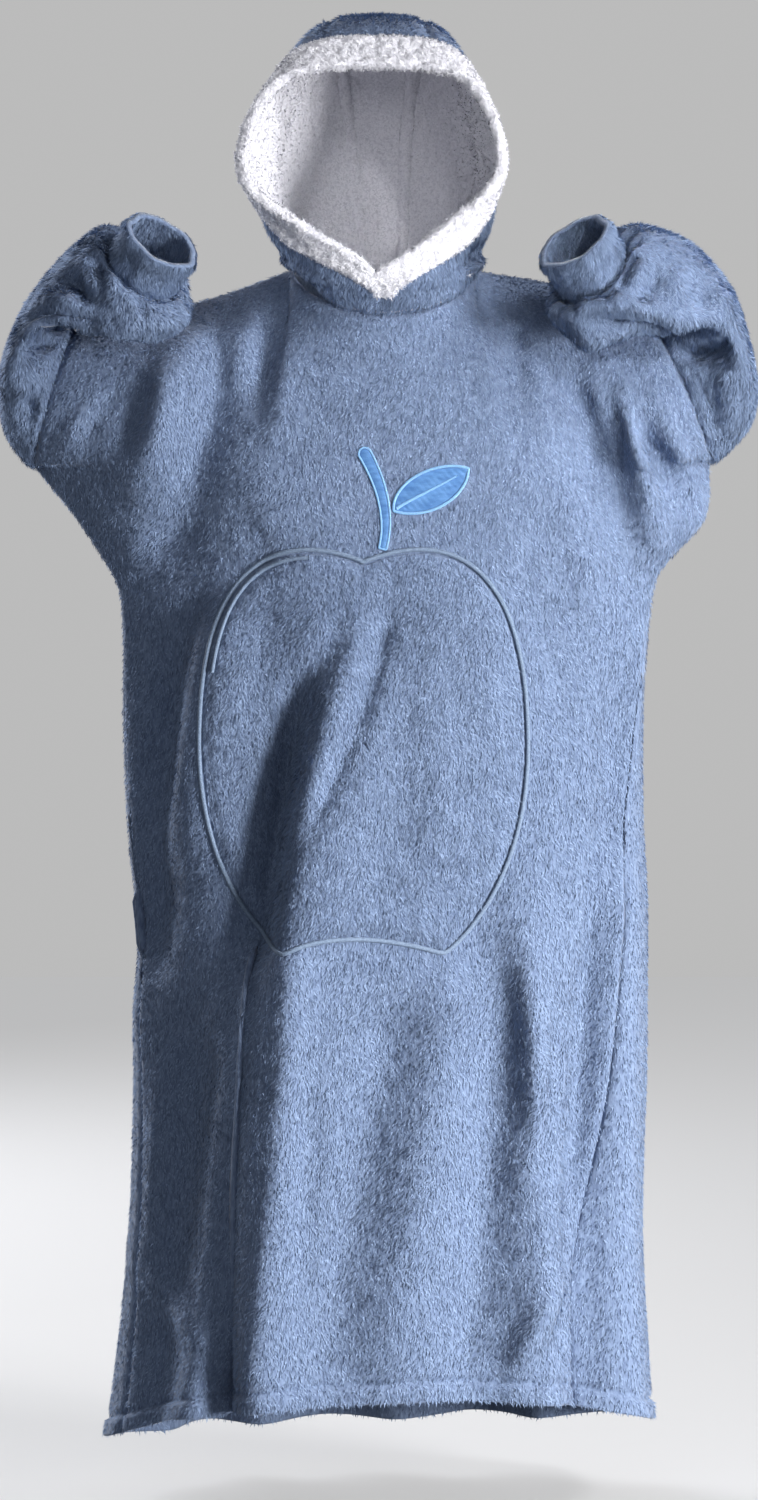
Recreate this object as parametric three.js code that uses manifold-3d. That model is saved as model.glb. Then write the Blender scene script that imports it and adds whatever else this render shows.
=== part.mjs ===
// A wearable blanket hoodie in plush fleece, in its worn form: an ankle-length body of two wide panels
// with the armhole seams at the elbows, sleeves bent up towards the hood, and a hood with a sherpa lining.
// Millimetres. X runs to the right of the front view, Y to the back and Z up.
// The origin is at the base of the neck, between the shoulders.
import * as THREE from 'three';
import { mergeVertices } from 'three/addons/utils/BufferGeometryUtils.js';
import Module from 'manifold-3d';

const wasm = await Module();
wasm.setup();

const FLEECE = 3;
const SHERPA = 4.5;
const SEAM_GAP = 0.3;
const LAYER_GAP = 0.3;

// Rows and columns of the cloth grids.
const ARMHOLE_ROWS = 10;
const SIDE_ROWS = 18;
const SHOULDER_COLUMNS = 8;
const BACK_NECK_COLUMNS = 14;
const HOOD_COLUMNS = 2 * BACK_NECK_COLUMNS;
const SLEEVE_RINGS = 16;
const CUFF_RINGS = 3;
const BODY_ROWS = ARMHOLE_ROWS + SIDE_ROWS;

// The sections are rounded: 1 is an ellipse and less is squarer.
const SECTION_POWER = 0.88;
const ROW_SAMPLES = 96;

// How soon, as a share of the length, the cloth has fallen from the shoulders to the body's depth and height.
const YOKE_FALL = { depth: 0.2, height: 0.3 };

// How deep the armhole is, as a share of the length from shoulder to hem.
const ARMHOLE_SHARE = 0.18;

// Shares of the hood's depth from its rim (0) to the back of the neck (1), one for each row of its grid.
const HOOD_DEPTHS = [0, 0.08, 0.165, 0.29, 0.43, 0.57, 0.71, 0.85, 1];

// The neckline is an oval loop, lower in front by its tilt and dipped at the front and the back.
const NECK = { x: 5, y: -11.5, halfWidth: 113, halfDepth: 106.5, level: -9, tilt: 34, dip: 15 };

// The crest of each shoulder seam, between the neck and the armhole.
const SHOULDER = {
  left: [-205, 6, -27],
  right: [203, 4, -8],
};

// Each armhole is an oval loop round the elbow, from the end of the shoulder seam to the underarm.
const ARMHOLE = {
  left: { top: [-360, -38, -70], bottom: [-412, -32, -236], halfDepth: 72 },
  right: { top: [322, -35, -56], bottom: [397, -28, -230], halfDepth: 74 },
};

// Centre front and centre back of the body, one row for each level.
const PROFILE = [
  { z: 20, front: 116, back: 92 },
  { z: -60, front: 118, back: 118 },
  { z: -150, front: 134, back: 130 },
  { z: -240, front: 143, back: 134 },
  { z: -340, front: 156, back: 140 },
  { z: -480, front: 176, back: 150 },
  { z: -650, front: 190, back: 160 },
  { z: -850, front: 192, back: 168 },
  { z: -1100, front: 190, back: 178 },
  { z: -1420, front: 196, back: 190 },
];

// Sections of the body below the arms, one row for each level: half-widths, the depth of the sides,
// and how far round from centre front the side seams lie, in degrees.
const SECTIONS = [
  { z: -230, left: 412, right: 397, side: -30, seamLeft: 90, seamRight: 90 },
  { z: -262, left: 401, right: 409, side: -26, seamLeft: 86, seamRight: 84 },
  { z: -300, left: 362, right: 394, side: -22, seamLeft: 83, seamRight: 78 },
  { z: -345, left: 329, right: 352, side: -18, seamLeft: 81, seamRight: 75 },
  { z: -400, left: 314, right: 335, side: -14, seamLeft: 80, seamRight: 74 },
  { z: -540, left: 314, right: 334, side: -8, seamLeft: 76, seamRight: 68 },
  { z: -750, left: 308, right: 328, side: -4, seamLeft: 74, seamRight: 60 },
  { z: -960, left: 297, right: 322, side: 0, seamLeft: 73, seamRight: 55 },
  { z: -1150, left: 303, right: 308, side: 4, seamLeft: 72, seamRight: 51 },
  { z: -1290, left: 315, right: 317, side: 8, seamLeft: 71, seamRight: 47 },
  { z: -1420, left: 332, right: 327, side: 10, seamLeft: 70, seamRight: 45 },
];

// The level of the hem round the body, by the angle from centre front in degrees.
const HEM = [
  { angle: -180, z: -1408 },
  { angle: -120, z: -1410 },
  { angle: -80, z: -1390 },
  { angle: -45, z: -1350 },
  { angle: 0, z: -1322 },
  { angle: 40, z: -1332 },
  { angle: 70, z: -1362 },
  { angle: 90, z: -1374 },
  { angle: 130, z: -1395 },
  { angle: 180, z: -1408 },
];

// At the sides the folds of the front give way to those of the back over this much of the angle's cosine, and
// they stay clear of the armholes and shoulders by some columns and rows.
const SIDE_BLEND = 0.5;
const FOLD_CLEAR = { columns: 3, rows: 3, belowUnderarm: 4 };

// The largest folds. Each runs down from one point over a second to a third, seen from the front (x, z). It
// rises or sinks by depth, and dies out over its left and right widths and over fade at its ends.
const FRONT_FOLDS = [
  { name: 'left arm drape', from: [-206, -40], over: [-250, -188], to: [-312, -385],
    depth: 26, left: 50, right: 26, fade: 60 },
  { name: 'left arm valley', from: [-176, -60], over: [-216, -188], to: [-272, -385],
    depth: -28, left: 28, right: 44, fade: 70 },
  { name: 'right arm valley', from: [218, -80], over: [256, -207], to: [288, -360],
    depth: -28, left: 38, right: 26, fade: 70 },
  { name: 'right arm ridge', from: [270, -120], over: [302, -240], to: [330, -345],
    depth: 20, left: 26, right: 28, fade: 60 },
  { name: 'right arm crease', from: [300, -120], over: [338, -238], to: [366, -300],
    depth: -12, left: 18, right: 18, fade: 50 },
  { name: 'left hip ridge', from: [-160, -350], over: [-207, -540], to: [-256, -760],
    depth: 26, left: 28, right: 50, fade: 120 },
  { name: 'left hip valley', from: [-214, -380], over: [-250, -560], to: [-285, -900],
    depth: -22, left: 28, right: 28, fade: 140 },
  { name: 'main ridge', from: [-46, -400], over: [-104, -800], to: [-146, -1400],
    depth: 36, left: 24, right: 84, fade: 160 },
  { name: 'main valley', from: [-84, -430], over: [-136, -780], to: [-176, -1400],
    depth: -34, left: 30, right: 24, fade: 160 },
  { name: 'lower left ridge', from: [-138, -760], over: [-168, -1000], to: [-212, -1400],
    depth: 34, left: 40, right: 24, fade: 120 },
  { name: 'lower left valley', from: [-215, -800], over: [-240, -1050], to: [-268, -1400],
    depth: -18, left: 30, right: 34, fade: 160 },
  { name: 'left hem ridge', from: [-276, -1130], over: [-240, -1220], to: [-196, -1330],
    depth: 8, left: 30, right: 26, fade: 60 },
  { name: 'pocket valley', from: [-14, -470], over: [-46, -570], to: [-74, -680],
    depth: -9, left: 26, right: 30, fade: 70 },
  { name: 'right front valley', from: [120, -640], over: [128, -950], to: [136, -1400],
    depth: -10, left: 50, right: 40, fade: 160 },
  { name: 'right front ridge', from: [168, -700], over: [184, -960], to: [196, -1400],
    depth: 18, left: 42, right: 36, fade: 140 },
  { name: 'right seam valley', from: [292, -420], over: [262, -850], to: [226, -1400],
    depth: -20, left: 28, right: 28, fade: 140 },
  { name: 'right side ridge', from: [290, -640], over: [278, -960], to: [294, -1400],
    depth: 22, left: 28, right: 28, fade: 140 },
];

const BACK_FOLDS = [
  { name: 'left arm drape', from: [-210, -50], over: [-262, -200], to: [-318, -390],
    depth: 18, left: 44, right: 20, fade: 60 },
  { name: 'left arm valley', from: [-172, -70], over: [-222, -200], to: [-276, -400],
    depth: -20, left: 24, right: 40, fade: 70 },
  { name: 'right arm valley', from: [176, -70], over: [226, -200], to: [282, -400],
    depth: -20, left: 40, right: 24, fade: 70 },
  { name: 'right arm drape', from: [212, -50], over: [268, -205], to: [326, -390],
    depth: 16, left: 20, right: 44, fade: 60 },
  { name: 'left ridge', from: [-128, -260], over: [-176, -720], to: [-204, -1440],
    depth: 26, left: 44, right: 26, fade: 200 },
  { name: 'left valley', from: [-92, -330], over: [-124, -740], to: [-150, -1440],
    depth: -24, left: 28, right: 36, fade: 200 },
  { name: 'centre ridge', from: [-26, -520], over: [-44, -900], to: [-62, -1440],
    depth: 20, left: 40, right: 46, fade: 240 },
  { name: 'centre valley', from: [46, -420], over: [34, -880], to: [24, -1440],
    depth: -20, left: 36, right: 32, fade: 240 },
  { name: 'right ridge', from: [124, -240], over: [126, -740], to: [110, -1440],
    depth: 28, left: 30, right: 54, fade: 200 },
  { name: 'right valley', from: [206, -420], over: [214, -860], to: [202, -1440],
    depth: -24, left: 34, right: 28, fade: 200 },
  { name: 'right side ridge', from: [262, -560], over: [272, -960], to: [268, -1440],
    depth: 20, left: 28, right: 34, fade: 180 },
  { name: 'left side valley', from: [-236, -640], over: [-252, -980], to: [-262, -1440],
    depth: -16, left: 28, right: 30, fade: 180 },
];

// Rings of the sleeves, from the armhole to the cuff seam: the crook side, the elbow side and the half depth.
const SLEEVE = {
  left: [
    { crook: [-360, -38, -70], elbow: [-412, -32, -236], halfDepth: 72 },
    { crook: [-372, -46, -56], elbow: [-440, -40, -196], halfDepth: 84 },
    { crook: [-366, -66, -44], elbow: [-447, -52, -142], halfDepth: 94 },
    { crook: [-346, -90, -46], elbow: [-432, -70, -82], halfDepth: 96 },
    { crook: [-318, -112, -58], elbow: [-408, -88, -36], halfDepth: 90 },
    { crook: [-286, -132, -76], elbow: [-374, -108, 4], halfDepth: 82 },
    { crook: [-246, -148, -84], elbow: [-342, -128, 30], halfDepth: 74 },
    { crook: [-221, -158, -62], elbow: [-326, -146, 34], halfDepth: 64 },
    { crook: [-239, -152, -37], elbow: [-311, -162, 13], halfDepth: 44 },
  ],
  right: [
    { crook: [322, -35, -56], elbow: [397, -28, -230], halfDepth: 74 },
    { crook: [348, -42, -46], elbow: [438, -36, -186], halfDepth: 86 },
    { crook: [352, -62, -40], elbow: [445, -48, -136], halfDepth: 96 },
    { crook: [338, -86, -48], elbow: [431, -66, -76], halfDepth: 98 },
    { crook: [306, -110, -66], elbow: [412, -88, -26], halfDepth: 92 },
    { crook: [268, -130, -84], elbow: [376, -108, 16], halfDepth: 84 },
    { crook: [228, -146, -88], elbow: [338, -130, 34], halfDepth: 76 },
    { crook: [198, -156, -58], elbow: [304, -148, 36], halfDepth: 64 },
    { crook: [216, -150, -42], elbow: [284, -164, 14], halfDepth: 44 },
  ],
};

// Each cuff runs from the last sleeve ring along its axis to its open rim.
const CUFF_LENGTH = 50;
const CUFF_RIM_RADIUS = 43;
const CUFF_AXIS = { left: [0.5, -0.55, 0.67], right: [-0.5, -0.5, 0.7] };

// Arcs of the hood from the left neckline over the head to the right one, one row for each share of depth.
const HOOD = [
  { depth: 0, out: 20, up: 41, lowLeft: 70, lowRight: 62, lowY: -142, lowZ: 27,
    sideLeft: 160, sideRight: 143, sideY: -134, sideZ: 105, corner: 0.74, crownY: -120, crownZ: 234 },
  { depth: 0.2, out: 24, up: 34, lowLeft: 112, lowRight: 112, lowY: -112, lowZ: 24,
    sideLeft: 146, sideRight: 137, sideY: -96, sideZ: 108, corner: 0.7, crownY: -88, crownZ: 276 },
  { depth: 0.4, out: 26, up: 30, lowLeft: 124, lowRight: 124, lowY: -72, lowZ: 34,
    sideLeft: 130, sideRight: 128, sideY: -48, sideZ: 120, corner: 0.66, crownY: -38, crownZ: 302 },
  { depth: 0.6, out: 24, up: 26, lowLeft: 122, lowRight: 124, lowY: -18, lowZ: 44,
    sideLeft: 122, sideRight: 122, sideY: 10, sideZ: 128, corner: 0.64, crownY: 38, crownZ: 285 },
  { depth: 0.8, out: 14, up: 18, lowLeft: 104, lowRight: 108, lowY: 44, lowZ: 44,
    sideLeft: 92, sideRight: 96, sideY: 82, sideZ: 118, corner: 0.62, crownY: 112, crownZ: 190 },
];
const HOOD_CENTRE = -4;
// The corner of an arc lies this far from its side towards its crown.
const HOOD_CORNER = { back: 0.8, up: 0.84 };
// Behind the last arc the cloth leaves in the direction it has had over the last share of depth (lead), and
// comes down to the neckline with a slope (rise, and tuck to the front) for its length.
const HOOD_BACK = { lead: 0.05, rise: 0.7, tuck: 0.2 };
const HOOD_INSIDE = [0, -20, 110];
// Places of an arc's points along it, from the left end (-1) over the crown (0) to the right end (1).
const ARC_PLACES = { low: 0.72, side: 0.48, corner: 0.24 };
const HOOD_STRIP_COLUMNS = 4;
// Columns at each end of the hood's front edge that meet below the point of the neck.
const COLLAR_COLUMNS = 2;
// The sherpa band covers the first rows of the hood and wraps its rim with a lip.
const BAND_ROWS = 2;
const BAND_LIP = 5;

// The pocket and the applique, by their outlines seen from the front.
// The pocket's sides are fullest at the level widest. Above it they bend in at a share of the height called
// shoulder, below it at hip. The foot ends in round corners.
const POCKET = { x: -18, top: -336, bottom: -798, halfWidth: 187, widest: -560, shoulder: 1.16, hip: 0.52 };
const POCKET_TOP = { dip: 16, dipWidth: 56 };
const POCKET_FOOT = { halfWidth: 92, wave: 16, cornerWidth: 44, cornerHeight: 34 };
const PIPING = { width: 7, height: 4.5 };
const APPLIQUE = 1.6;
// The leaf's two edges bulge out between these shares of its length.
const LEAF = { base: [17, -289], tip: [104, -239], bulge: 30, upper: [0.12, 0.72], lower: [0.28, 0.82] };
const STEM = { foot: [4, -333], bend: [18, -280], top: [-20, -216], width: 13, steps: 10, capSteps: 6 };
const OUTLINE_STEPS = 36;
// How far forward the cut of an outline reaches, and how much of the panel round it is moved out for it.
const LAYER_REACH = 400;
const LAYER_MARGIN = 60;

const PLUSH = { color: 0x768eb2, roughness: 0.95 };
const WHITE_PILE = { color: 0xe4e4ec, roughness: 0.98 };
const CORD = { color: 0x828c9b, roughness: 0.8 };
const SATIN = { color: 0x6496cd, roughness: 0.4 };

const vector = (list) => new THREE.Vector3(list[0], list[1], list[2]);
const mix = (a, b, t) => a + (b - a) * t;
const clamp01 = (t) => Math.min(1, Math.max(0, t));
const smooth = (t) => clamp01(t) * clamp01(t) * (3 - 2 * clamp01(t));
const range = (from, to) => Array.from({ length: Math.max(to - from + 1, 0) }, (_, k) => from + k);

// A smooth value between the rows of a table: a cubic through the four nearest rows.
function along(rows, key, name, at) {
  const step = Math.sign(rows[1][key] - rows[0][key]);
  let k = 0;
  while (k < rows.length - 2 && (at - rows[k + 1][key]) * step > 0) {
    k += 1;
  }
  const slope = (m) => {
    const before = rows[Math.max(m - 1, 0)];
    const after = rows[Math.min(m + 1, rows.length - 1)];
    return (after[name] - before[name]) / (after[key] - before[key]);
  };
  const length = rows[k + 1][key] - rows[k][key];
  const t = clamp01((at - rows[k][key]) / length);
  const square = t * t;
  const cube = square * t;
  return (2 * cube - 3 * square + 1) * rows[k][name] + (cube - 2 * square + t) * length * slope(k)
    + (3 * square - 2 * cube) * rows[k + 1][name] + (cube - square) * length * slope(k + 1);
}

// The neckline loop, by the angle from centre front: a quarter turn is the right side.
function neckline(angle) {
  return new THREE.Vector3(
    NECK.x + NECK.halfWidth * Math.sin(angle),
    NECK.y - NECK.halfDepth * Math.cos(angle),
    NECK.level - NECK.tilt * Math.cos(angle) - NECK.dip * Math.cos(2 * angle),
  );
}

// A loop round a sleeve: turn 0 is at the crook, a quarter at the front, a half at the elbow.
function ringPoint(crook, elbow, frontward, halfDepth, turn) {
  const centre = crook.clone().add(elbow).multiplyScalar(0.5);
  const reach = crook.clone().sub(centre);
  return centre.addScaledVector(reach, Math.cos(turn)).addScaledVector(frontward, halfDepth * Math.sin(turn));
}

function armholePoint(side, turn) {
  const hole = ARMHOLE[side];
  return ringPoint(vector(hole.top), vector(hole.bottom), new THREE.Vector3(0, -1, 0), hole.halfDepth, turn);
}

// The closed section of the body below the arms, by the angle from centre front and the level.
function sectionPoint(angle, z) {
  const across = Math.sign(Math.sin(angle)) * Math.abs(Math.sin(angle)) ** SECTION_POWER;
  const facing = Math.sign(Math.cos(angle)) * Math.abs(Math.cos(angle)) ** SECTION_POWER;
  const side = along(SECTIONS, 'z', 'side', z);
  const width = across < 0 ? along(SECTIONS, 'z', 'left', z) : along(SECTIONS, 'z', 'right', z);
  const front = along(PROFILE, 'z', 'front', z) + side;
  const back = along(PROFILE, 'z', 'back', z) - side;
  return new THREE.Vector3(across * width, side - facing * (facing > 0 ? front : back), z);
}

function hemLevel(angle) {
  const turned = angle > Math.PI ? angle - 2 * Math.PI : angle;
  return along(HEM, 'angle', 'z', THREE.MathUtils.radToDeg(turned));
}

// The level of the body's first full section, under the arms, by the angle from centre front.
function underarmLevel(angle) {
  const side = Math.sin(angle) < 0 ? ARMHOLE.left.bottom[2] : ARMHOLE.right.bottom[2];
  const centre = Math.cos(angle) > 0 ? neckline(0).z : neckline(Math.PI).z;
  const dropped = mix(centre, hemLevel(Math.cos(angle) > 0 ? 0 : Math.PI), ARMHOLE_SHARE);
  return mix(side, dropped, Math.cos(angle) ** 2);
}

function foldHeight(folds, x, z) {
  let height = 0;
  for (const fold of folds) {
    const [x0, z0] = fold.from;
    const [x1, z1] = fold.over;
    const [x2, z2] = fold.to;
    const t = (z - z0) / (z2 - z0);
    const bend = (z1 - z0) / (z2 - z0);
    const bow = (x1 - mix(x0, x2, bend)) / (bend * (1 - bend));
    const path = mix(x0, x2, t) + bow * t * (1 - t);
    const slope = Math.hypot(x2 - x0, z2 - z0) / Math.abs(z2 - z0);
    const away = (x - path) / slope;
    const width = away < 0 ? fold.left : fold.right;
    const runsOut = z2 < hemLevel(0);
    const lowerEnd = runsOut ? 1 : smooth((z - z2) / fold.fade);
    const ends = smooth((z0 - z) / fold.fade) * lowerEnd;
    height += fold.depth * ends * Math.exp(-((away / width) ** 2));
  }
  return height;
}

// How far the folds move a point, by its angle from centre front. At the sides those of the front give way
// to those of the back.
function foldsAt(angle, point) {
  const share = smooth(Math.cos(angle) / SIDE_BLEND + 0.5);
  const inFront = foldHeight(FRONT_FOLDS, point.x, point.z);
  const behind = foldHeight(BACK_FOLDS, point.x, point.z);
  return mix(behind, inFront, share);
}

// The upper edge of a panel by its column: the shoulder seams and the neckline between them.
function topEdge(panel, column) {
  const neckColumns = panel.neckAngles.length - 1;
  const fromRight = column > SHOULDER_COLUMNS;
  if (column >= SHOULDER_COLUMNS && column <= SHOULDER_COLUMNS + neckColumns) {
    return neckline(panel.neckAngles[column - SHOULDER_COLUMNS]);
  }
  const side = fromRight ? 'right' : 'left';
  const neck = neckline(fromRight ? Math.PI / 2 : -Math.PI / 2);
  const path = new THREE.CatmullRomCurve3([armholePoint(side, 0), vector(SHOULDER[side]), neck]);
  const t = fromRight ? (panel.columns - column) / SHOULDER_COLUMNS : column / SHOULDER_COLUMNS;
  return path.getPoint(t);
}

// How far down the cloth a row lies, from the shoulder (0) to the hem (1).
function rowShare(row) {
  return row <= ARMHOLE_ROWS
    ? ARMHOLE_SHARE * row / ARMHOLE_ROWS
    : mix(ARMHOLE_SHARE, 1, (row - ARMHOLE_ROWS) / SIDE_ROWS);
}

// One row of a body panel from its left edge to its right one, its columns evenly spaced along the cloth.
function panelRow(panel, row) {
  const share = rowShare(row);
  const lower = clamp01((share - ARMHOLE_SHARE) / (1 - ARMHOLE_SHARE));
  const level = mix(ARMHOLE.left.bottom[2], SECTIONS[SECTIONS.length - 1].z, lower);
  const yoke = row <= ARMHOLE_ROWS;
  const seamLeft = -THREE.MathUtils.degToRad(yoke ? 90 : along(SECTIONS, 'z', 'seamLeft', level));
  const seamRight = THREE.MathUtils.degToRad(yoke ? 90 : along(SECTIONS, 'z', 'seamRight', level));
  const angleAt = (t) => mix(panel.front ? seamLeft : seamLeft + 2 * Math.PI, seamRight, t);
  const pointAt = (t) => {
    const angle = angleAt(t);
    return yoke
      ? yokePoint(panel, angle, share, row)
      : sectionPoint(angle, mix(underarmLevel(angle), hemLevel(angle), lower));
  };
  const lengths = [0];
  for (let k = 1; k <= ROW_SAMPLES; k += 1) {
    lengths.push(lengths[k - 1] + pointAt(k / ROW_SAMPLES).distanceTo(pointAt((k - 1) / ROW_SAMPLES)));
  }
  return range(0, panel.columns).map((column) => {
    const target = lengths[ROW_SAMPLES] * column / panel.columns;
    let k = 0;
    while (k < ROW_SAMPLES - 1 && lengths[k + 1] < target) {
      k += 1;
    }
    const t = (k + clamp01((target - lengths[k]) / (lengths[k + 1] - lengths[k]))) / ROW_SAMPLES;
    return { point: pointAt(t), angle: angleAt(t) };
  });
}

// The points of a body panel. Columns run from left to right and rows from the shoulder to the hem.
// Its upper rows are drawn up to the shoulder seams and the neckline, and the rest hangs from them.
function panelRows(panel) {
  const rows = range(0, BODY_ROWS).map((row) => panelRow(panel, row));
  const start = rows[0].map(({ point }) => point.clone());
  rows.forEach((row, j) => {
    const share = rowShare(j);
    row.forEach(({ point }, i) => {
      const top = topEdge(panel, i);
      point.x += (top.x - start[i].x) * (1 - share) ** 2;
      point.y += (top.y - start[i].y) * clamp01(1 - share / YOKE_FALL.depth) ** 3;
      point.z += (top.z - start[i].z) * clamp01(1 - share / YOKE_FALL.height) ** 2;
    });
  });
  return rows;
}

// A point above the underarm: across from one armhole to the other, bowed out to the body's profile.
function yokePoint(panel, angle, share, row) {
  const turn = (panel.front ? 1 : -1) * Math.PI * row / ARMHOLE_ROWS;
  const left = armholePoint('left', turn);
  const right = armholePoint('right', turn);
  const across = Math.sign(Math.sin(angle)) * Math.abs(Math.sin(angle)) ** SECTION_POWER;
  const facing = Math.abs(Math.cos(angle)) ** SECTION_POWER;
  const centre = neckline(panel.front ? 0 : Math.PI).z;
  const z = mix(centre, hemLevel(panel.front ? 0 : Math.PI), share);
  const depth = panel.front ? -along(PROFILE, 'z', 'front', z) : along(PROFILE, 'z', 'back', z);
  const edge = left.clone().lerp(right, (1 + across) / 2);
  const middle = (left.y + right.y) / 2;
  const levelShape = Math.cos(angle) ** 2;
  return new THREE.Vector3(
    across < 0 ? -left.x * across : right.x * across,
    edge.y + (depth - middle) * facing,
    mix(across < 0 ? left.z : right.z, z, levelShape),
  );
}

// A grid of points with an outward normal at each, away from the inside point of its row.
function makeGrid(rows, columns, closed, pointAt, insideAt) {
  const points = [];
  for (let j = 0; j <= rows; j += 1) {
    for (let i = 0; i < (closed ? columns : columns + 1); i += 1) {
      points.push(pointAt(i, j));
    }
  }
  const grid = { rows, columns, closed, width: closed ? columns : columns + 1, points, insideAt };
  grid.normals = gridNormals(grid);
  return grid;
}

function gridIndex(grid, i, j) {
  return j * grid.width + (grid.closed ? (i + grid.columns) % grid.columns : i);
}

function gridNormals(grid) {
  const at = (i, j) => grid.points[gridIndex(grid, i, j)];
  const normals = [];
  let outward = 0;
  for (let j = 0; j <= grid.rows; j += 1) {
    for (let i = 0; i < grid.width; i += 1) {
      const before = grid.closed ? i - 1 : Math.max(i - 1, 0);
      const after = grid.closed ? i + 1 : Math.min(i + 1, grid.columns);
      const across = at(after, j).clone().sub(at(before, j));
      const down = at(i, Math.min(j + 1, grid.rows)).clone().sub(at(i, Math.max(j - 1, 0)));
      const normal = across.cross(down).normalize();
      outward += normal.dot(at(i, j).clone().sub(grid.insideAt(j)));
      normals.push(normal);
    }
  }
  if (outward < 0) {
    normals.forEach((normal) => normal.negate());
  }
  return normals;
}

// Pieces that meet at a seam share one normal there, so that their edge faces are parallel.
function shareNormals(grids) {
  const sums = new Map();
  const keyOf = (point) => point.toArray().map((value) => value.toFixed(2)).join();
  for (const grid of grids) {
    grid.points.forEach((point, k) => {
      const key = keyOf(point);
      const sum = sums.get(key) ?? new THREE.Vector3();
      sums.set(key, sum.add(grid.normals[k]));
    });
  }
  for (const grid of grids) {
    grid.normals = grid.points.map((point) => sums.get(keyOf(point)).clone().normalize());
  }
}

// Draws a piece back from a seam by half the gap. An edge is a list of grid places, each with one inside it.
function openSeam(grid, edge) {
  const places = edge.map(([i, j]) => gridIndex(grid, i, j));
  const original = places.map((k) => grid.points[k].clone());
  edge.forEach(([i, j, insideI, insideJ], n) => {
    const before = original[Math.max(n - 1, 0)];
    const after = original[Math.min(n + 1, edge.length - 1)];
    const normal = grid.normals[places[n]];
    const away = after.clone().sub(before).cross(normal).normalize();
    const inside = grid.points[gridIndex(grid, insideI, insideJ)];
    if (away.dot(inside.clone().sub(original[n])) < 0) {
      away.negate();
    }
    grid.shifts = grid.shifts ?? new Map();
    const shift = grid.shifts.get(places[n]) ?? new THREE.Vector3();
    grid.shifts.set(places[n], shift.addScaledVector(away, SEAM_GAP / 2));
  });
}

// Draws a closed ring back from a seam by half the gap.
function openRing(grid, round, row, inside) {
  const last = round.length - 1;
  const places = [last, ...round, 0].map((i) => [i, row, i, inside]);
  const copy = { ...grid, shifts: new Map() };
  openSeam(copy, places);
  grid.shifts = grid.shifts ?? new Map();
  round.forEach((i) => {
    const k = gridIndex(grid, i, row);
    const shift = copy.shifts.get(k);
    grid.shifts.set(k, (grid.shifts.get(k) ?? new THREE.Vector3()).add(shift.setLength(SEAM_GAP / 2)));
  });
}

function applyShifts(grid) {
  grid.shifts?.forEach((shift, k) => grid.points[k].add(shift));
}

// The two triangles of a grid cell. The cells of the hood's right half are split as in a mirror.
function cellTriangles(grid, i, j) {
  const a = gridIndex(grid, i, j);
  const b = gridIndex(grid, i + 1, j);
  const c = gridIndex(grid, i + 1, j + 1);
  const d = gridIndex(grid, i, j + 1);
  const turned = grid.turnedFrom !== undefined && i >= grid.turnedFrom;
  return turned ? [[a, b, d], [b, c, d]] : [[a, b, c], [a, c, d]];
}

function gridTriangles(grid, fromColumn = 0, toColumn = grid.columns, fromRow = 0, toRow = grid.rows) {
  const triangles = [];
  for (let j = fromRow; j < toRow; j += 1) {
    for (let i = fromColumn; i < toColumn; i += 1) {
      triangles.push(...cellTriangles(grid, i, j));
    }
  }
  return triangles;
}

// From this point on, a lip's profile runs back up along the edges of the layers behind it.
const LIP_BACK = 3;

// Edge faces are split from their lower to their higher end in this direction, so that both sides of a seam
// agree.
const EDGE_ORDER = new THREE.Vector3(0.61, 0.53, 0.59);

// A closed wall over some triangles of a grid, between two heights along the normals.
// Along edges whose points have a lip, the wall's edge runs over the lip's points.
function wall(grid, triangles, upper, lower, lips = new Map()) {
  const points = grid.points.map((point, k) => point.clone().addScaledVector(grid.normals[k], upper));
  const count = points.length;
  points.push(...grid.points.map((point, k) => point.clone().addScaledVector(grid.normals[k], lower)));
  const profiles = new Map();
  for (const [k, lip] of lips) {
    profiles.set(k, [k, ...lip.map((point) => points.push(point) - 1), k + count]);
  }
  const faces = [];
  const edges = new Map();
  for (const [a, b, c] of triangles) {
    faces.push([a, b, c], [a + count, c + count, b + count]);
    for (const [p, q] of [[a, b], [b, c], [c, a]]) {
      if (!edges.delete(`${q},${p}`)) {
        edges.set(`${p},${q}`, [p, q]);
      }
    }
  }
  for (const [p, q] of edges.values()) {
    const lipped = profiles.has(p) && profiles.has(q);
    const from = lipped ? profiles.get(p) : [p, p + count];
    const to = lipped ? profiles.get(q) : [q, q + count];
    const rising = grid.points[q].dot(EDGE_ORDER) > grid.points[p].dot(EDGE_ORDER);
    for (let k = 0; k + 1 < from.length; k += 1) {
      const upward = k >= LIP_BACK && k + 2 < from.length;
      if (rising !== upward) {
        faces.push([to[k], from[k], from[k + 1]], [to[k], from[k + 1], to[k + 1]]);
      } else {
        faces.push([to[k], from[k], to[k + 1]], [from[k], from[k + 1], to[k + 1]]);
      }
    }
    if (!lipped && profiles.has(p)) {
      faces.push(...lipCap(profiles.get(p)));
    }
    if (!lipped && profiles.has(q)) {
      faces.push(...lipCap(profiles.get(q)).map((face) => face.reverse()));
    }
  }
  return closedGeometry(points, faces);
}

// The end of a lip, as triangles from its first point.
function lipCap(profile) {
  const hub = profile[1];
  const rest = [...profile.slice(2), profile[0]];
  return range(0, rest.length - 2).map((k) => [hub, rest[k], rest[k + 1]]);
}

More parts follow.
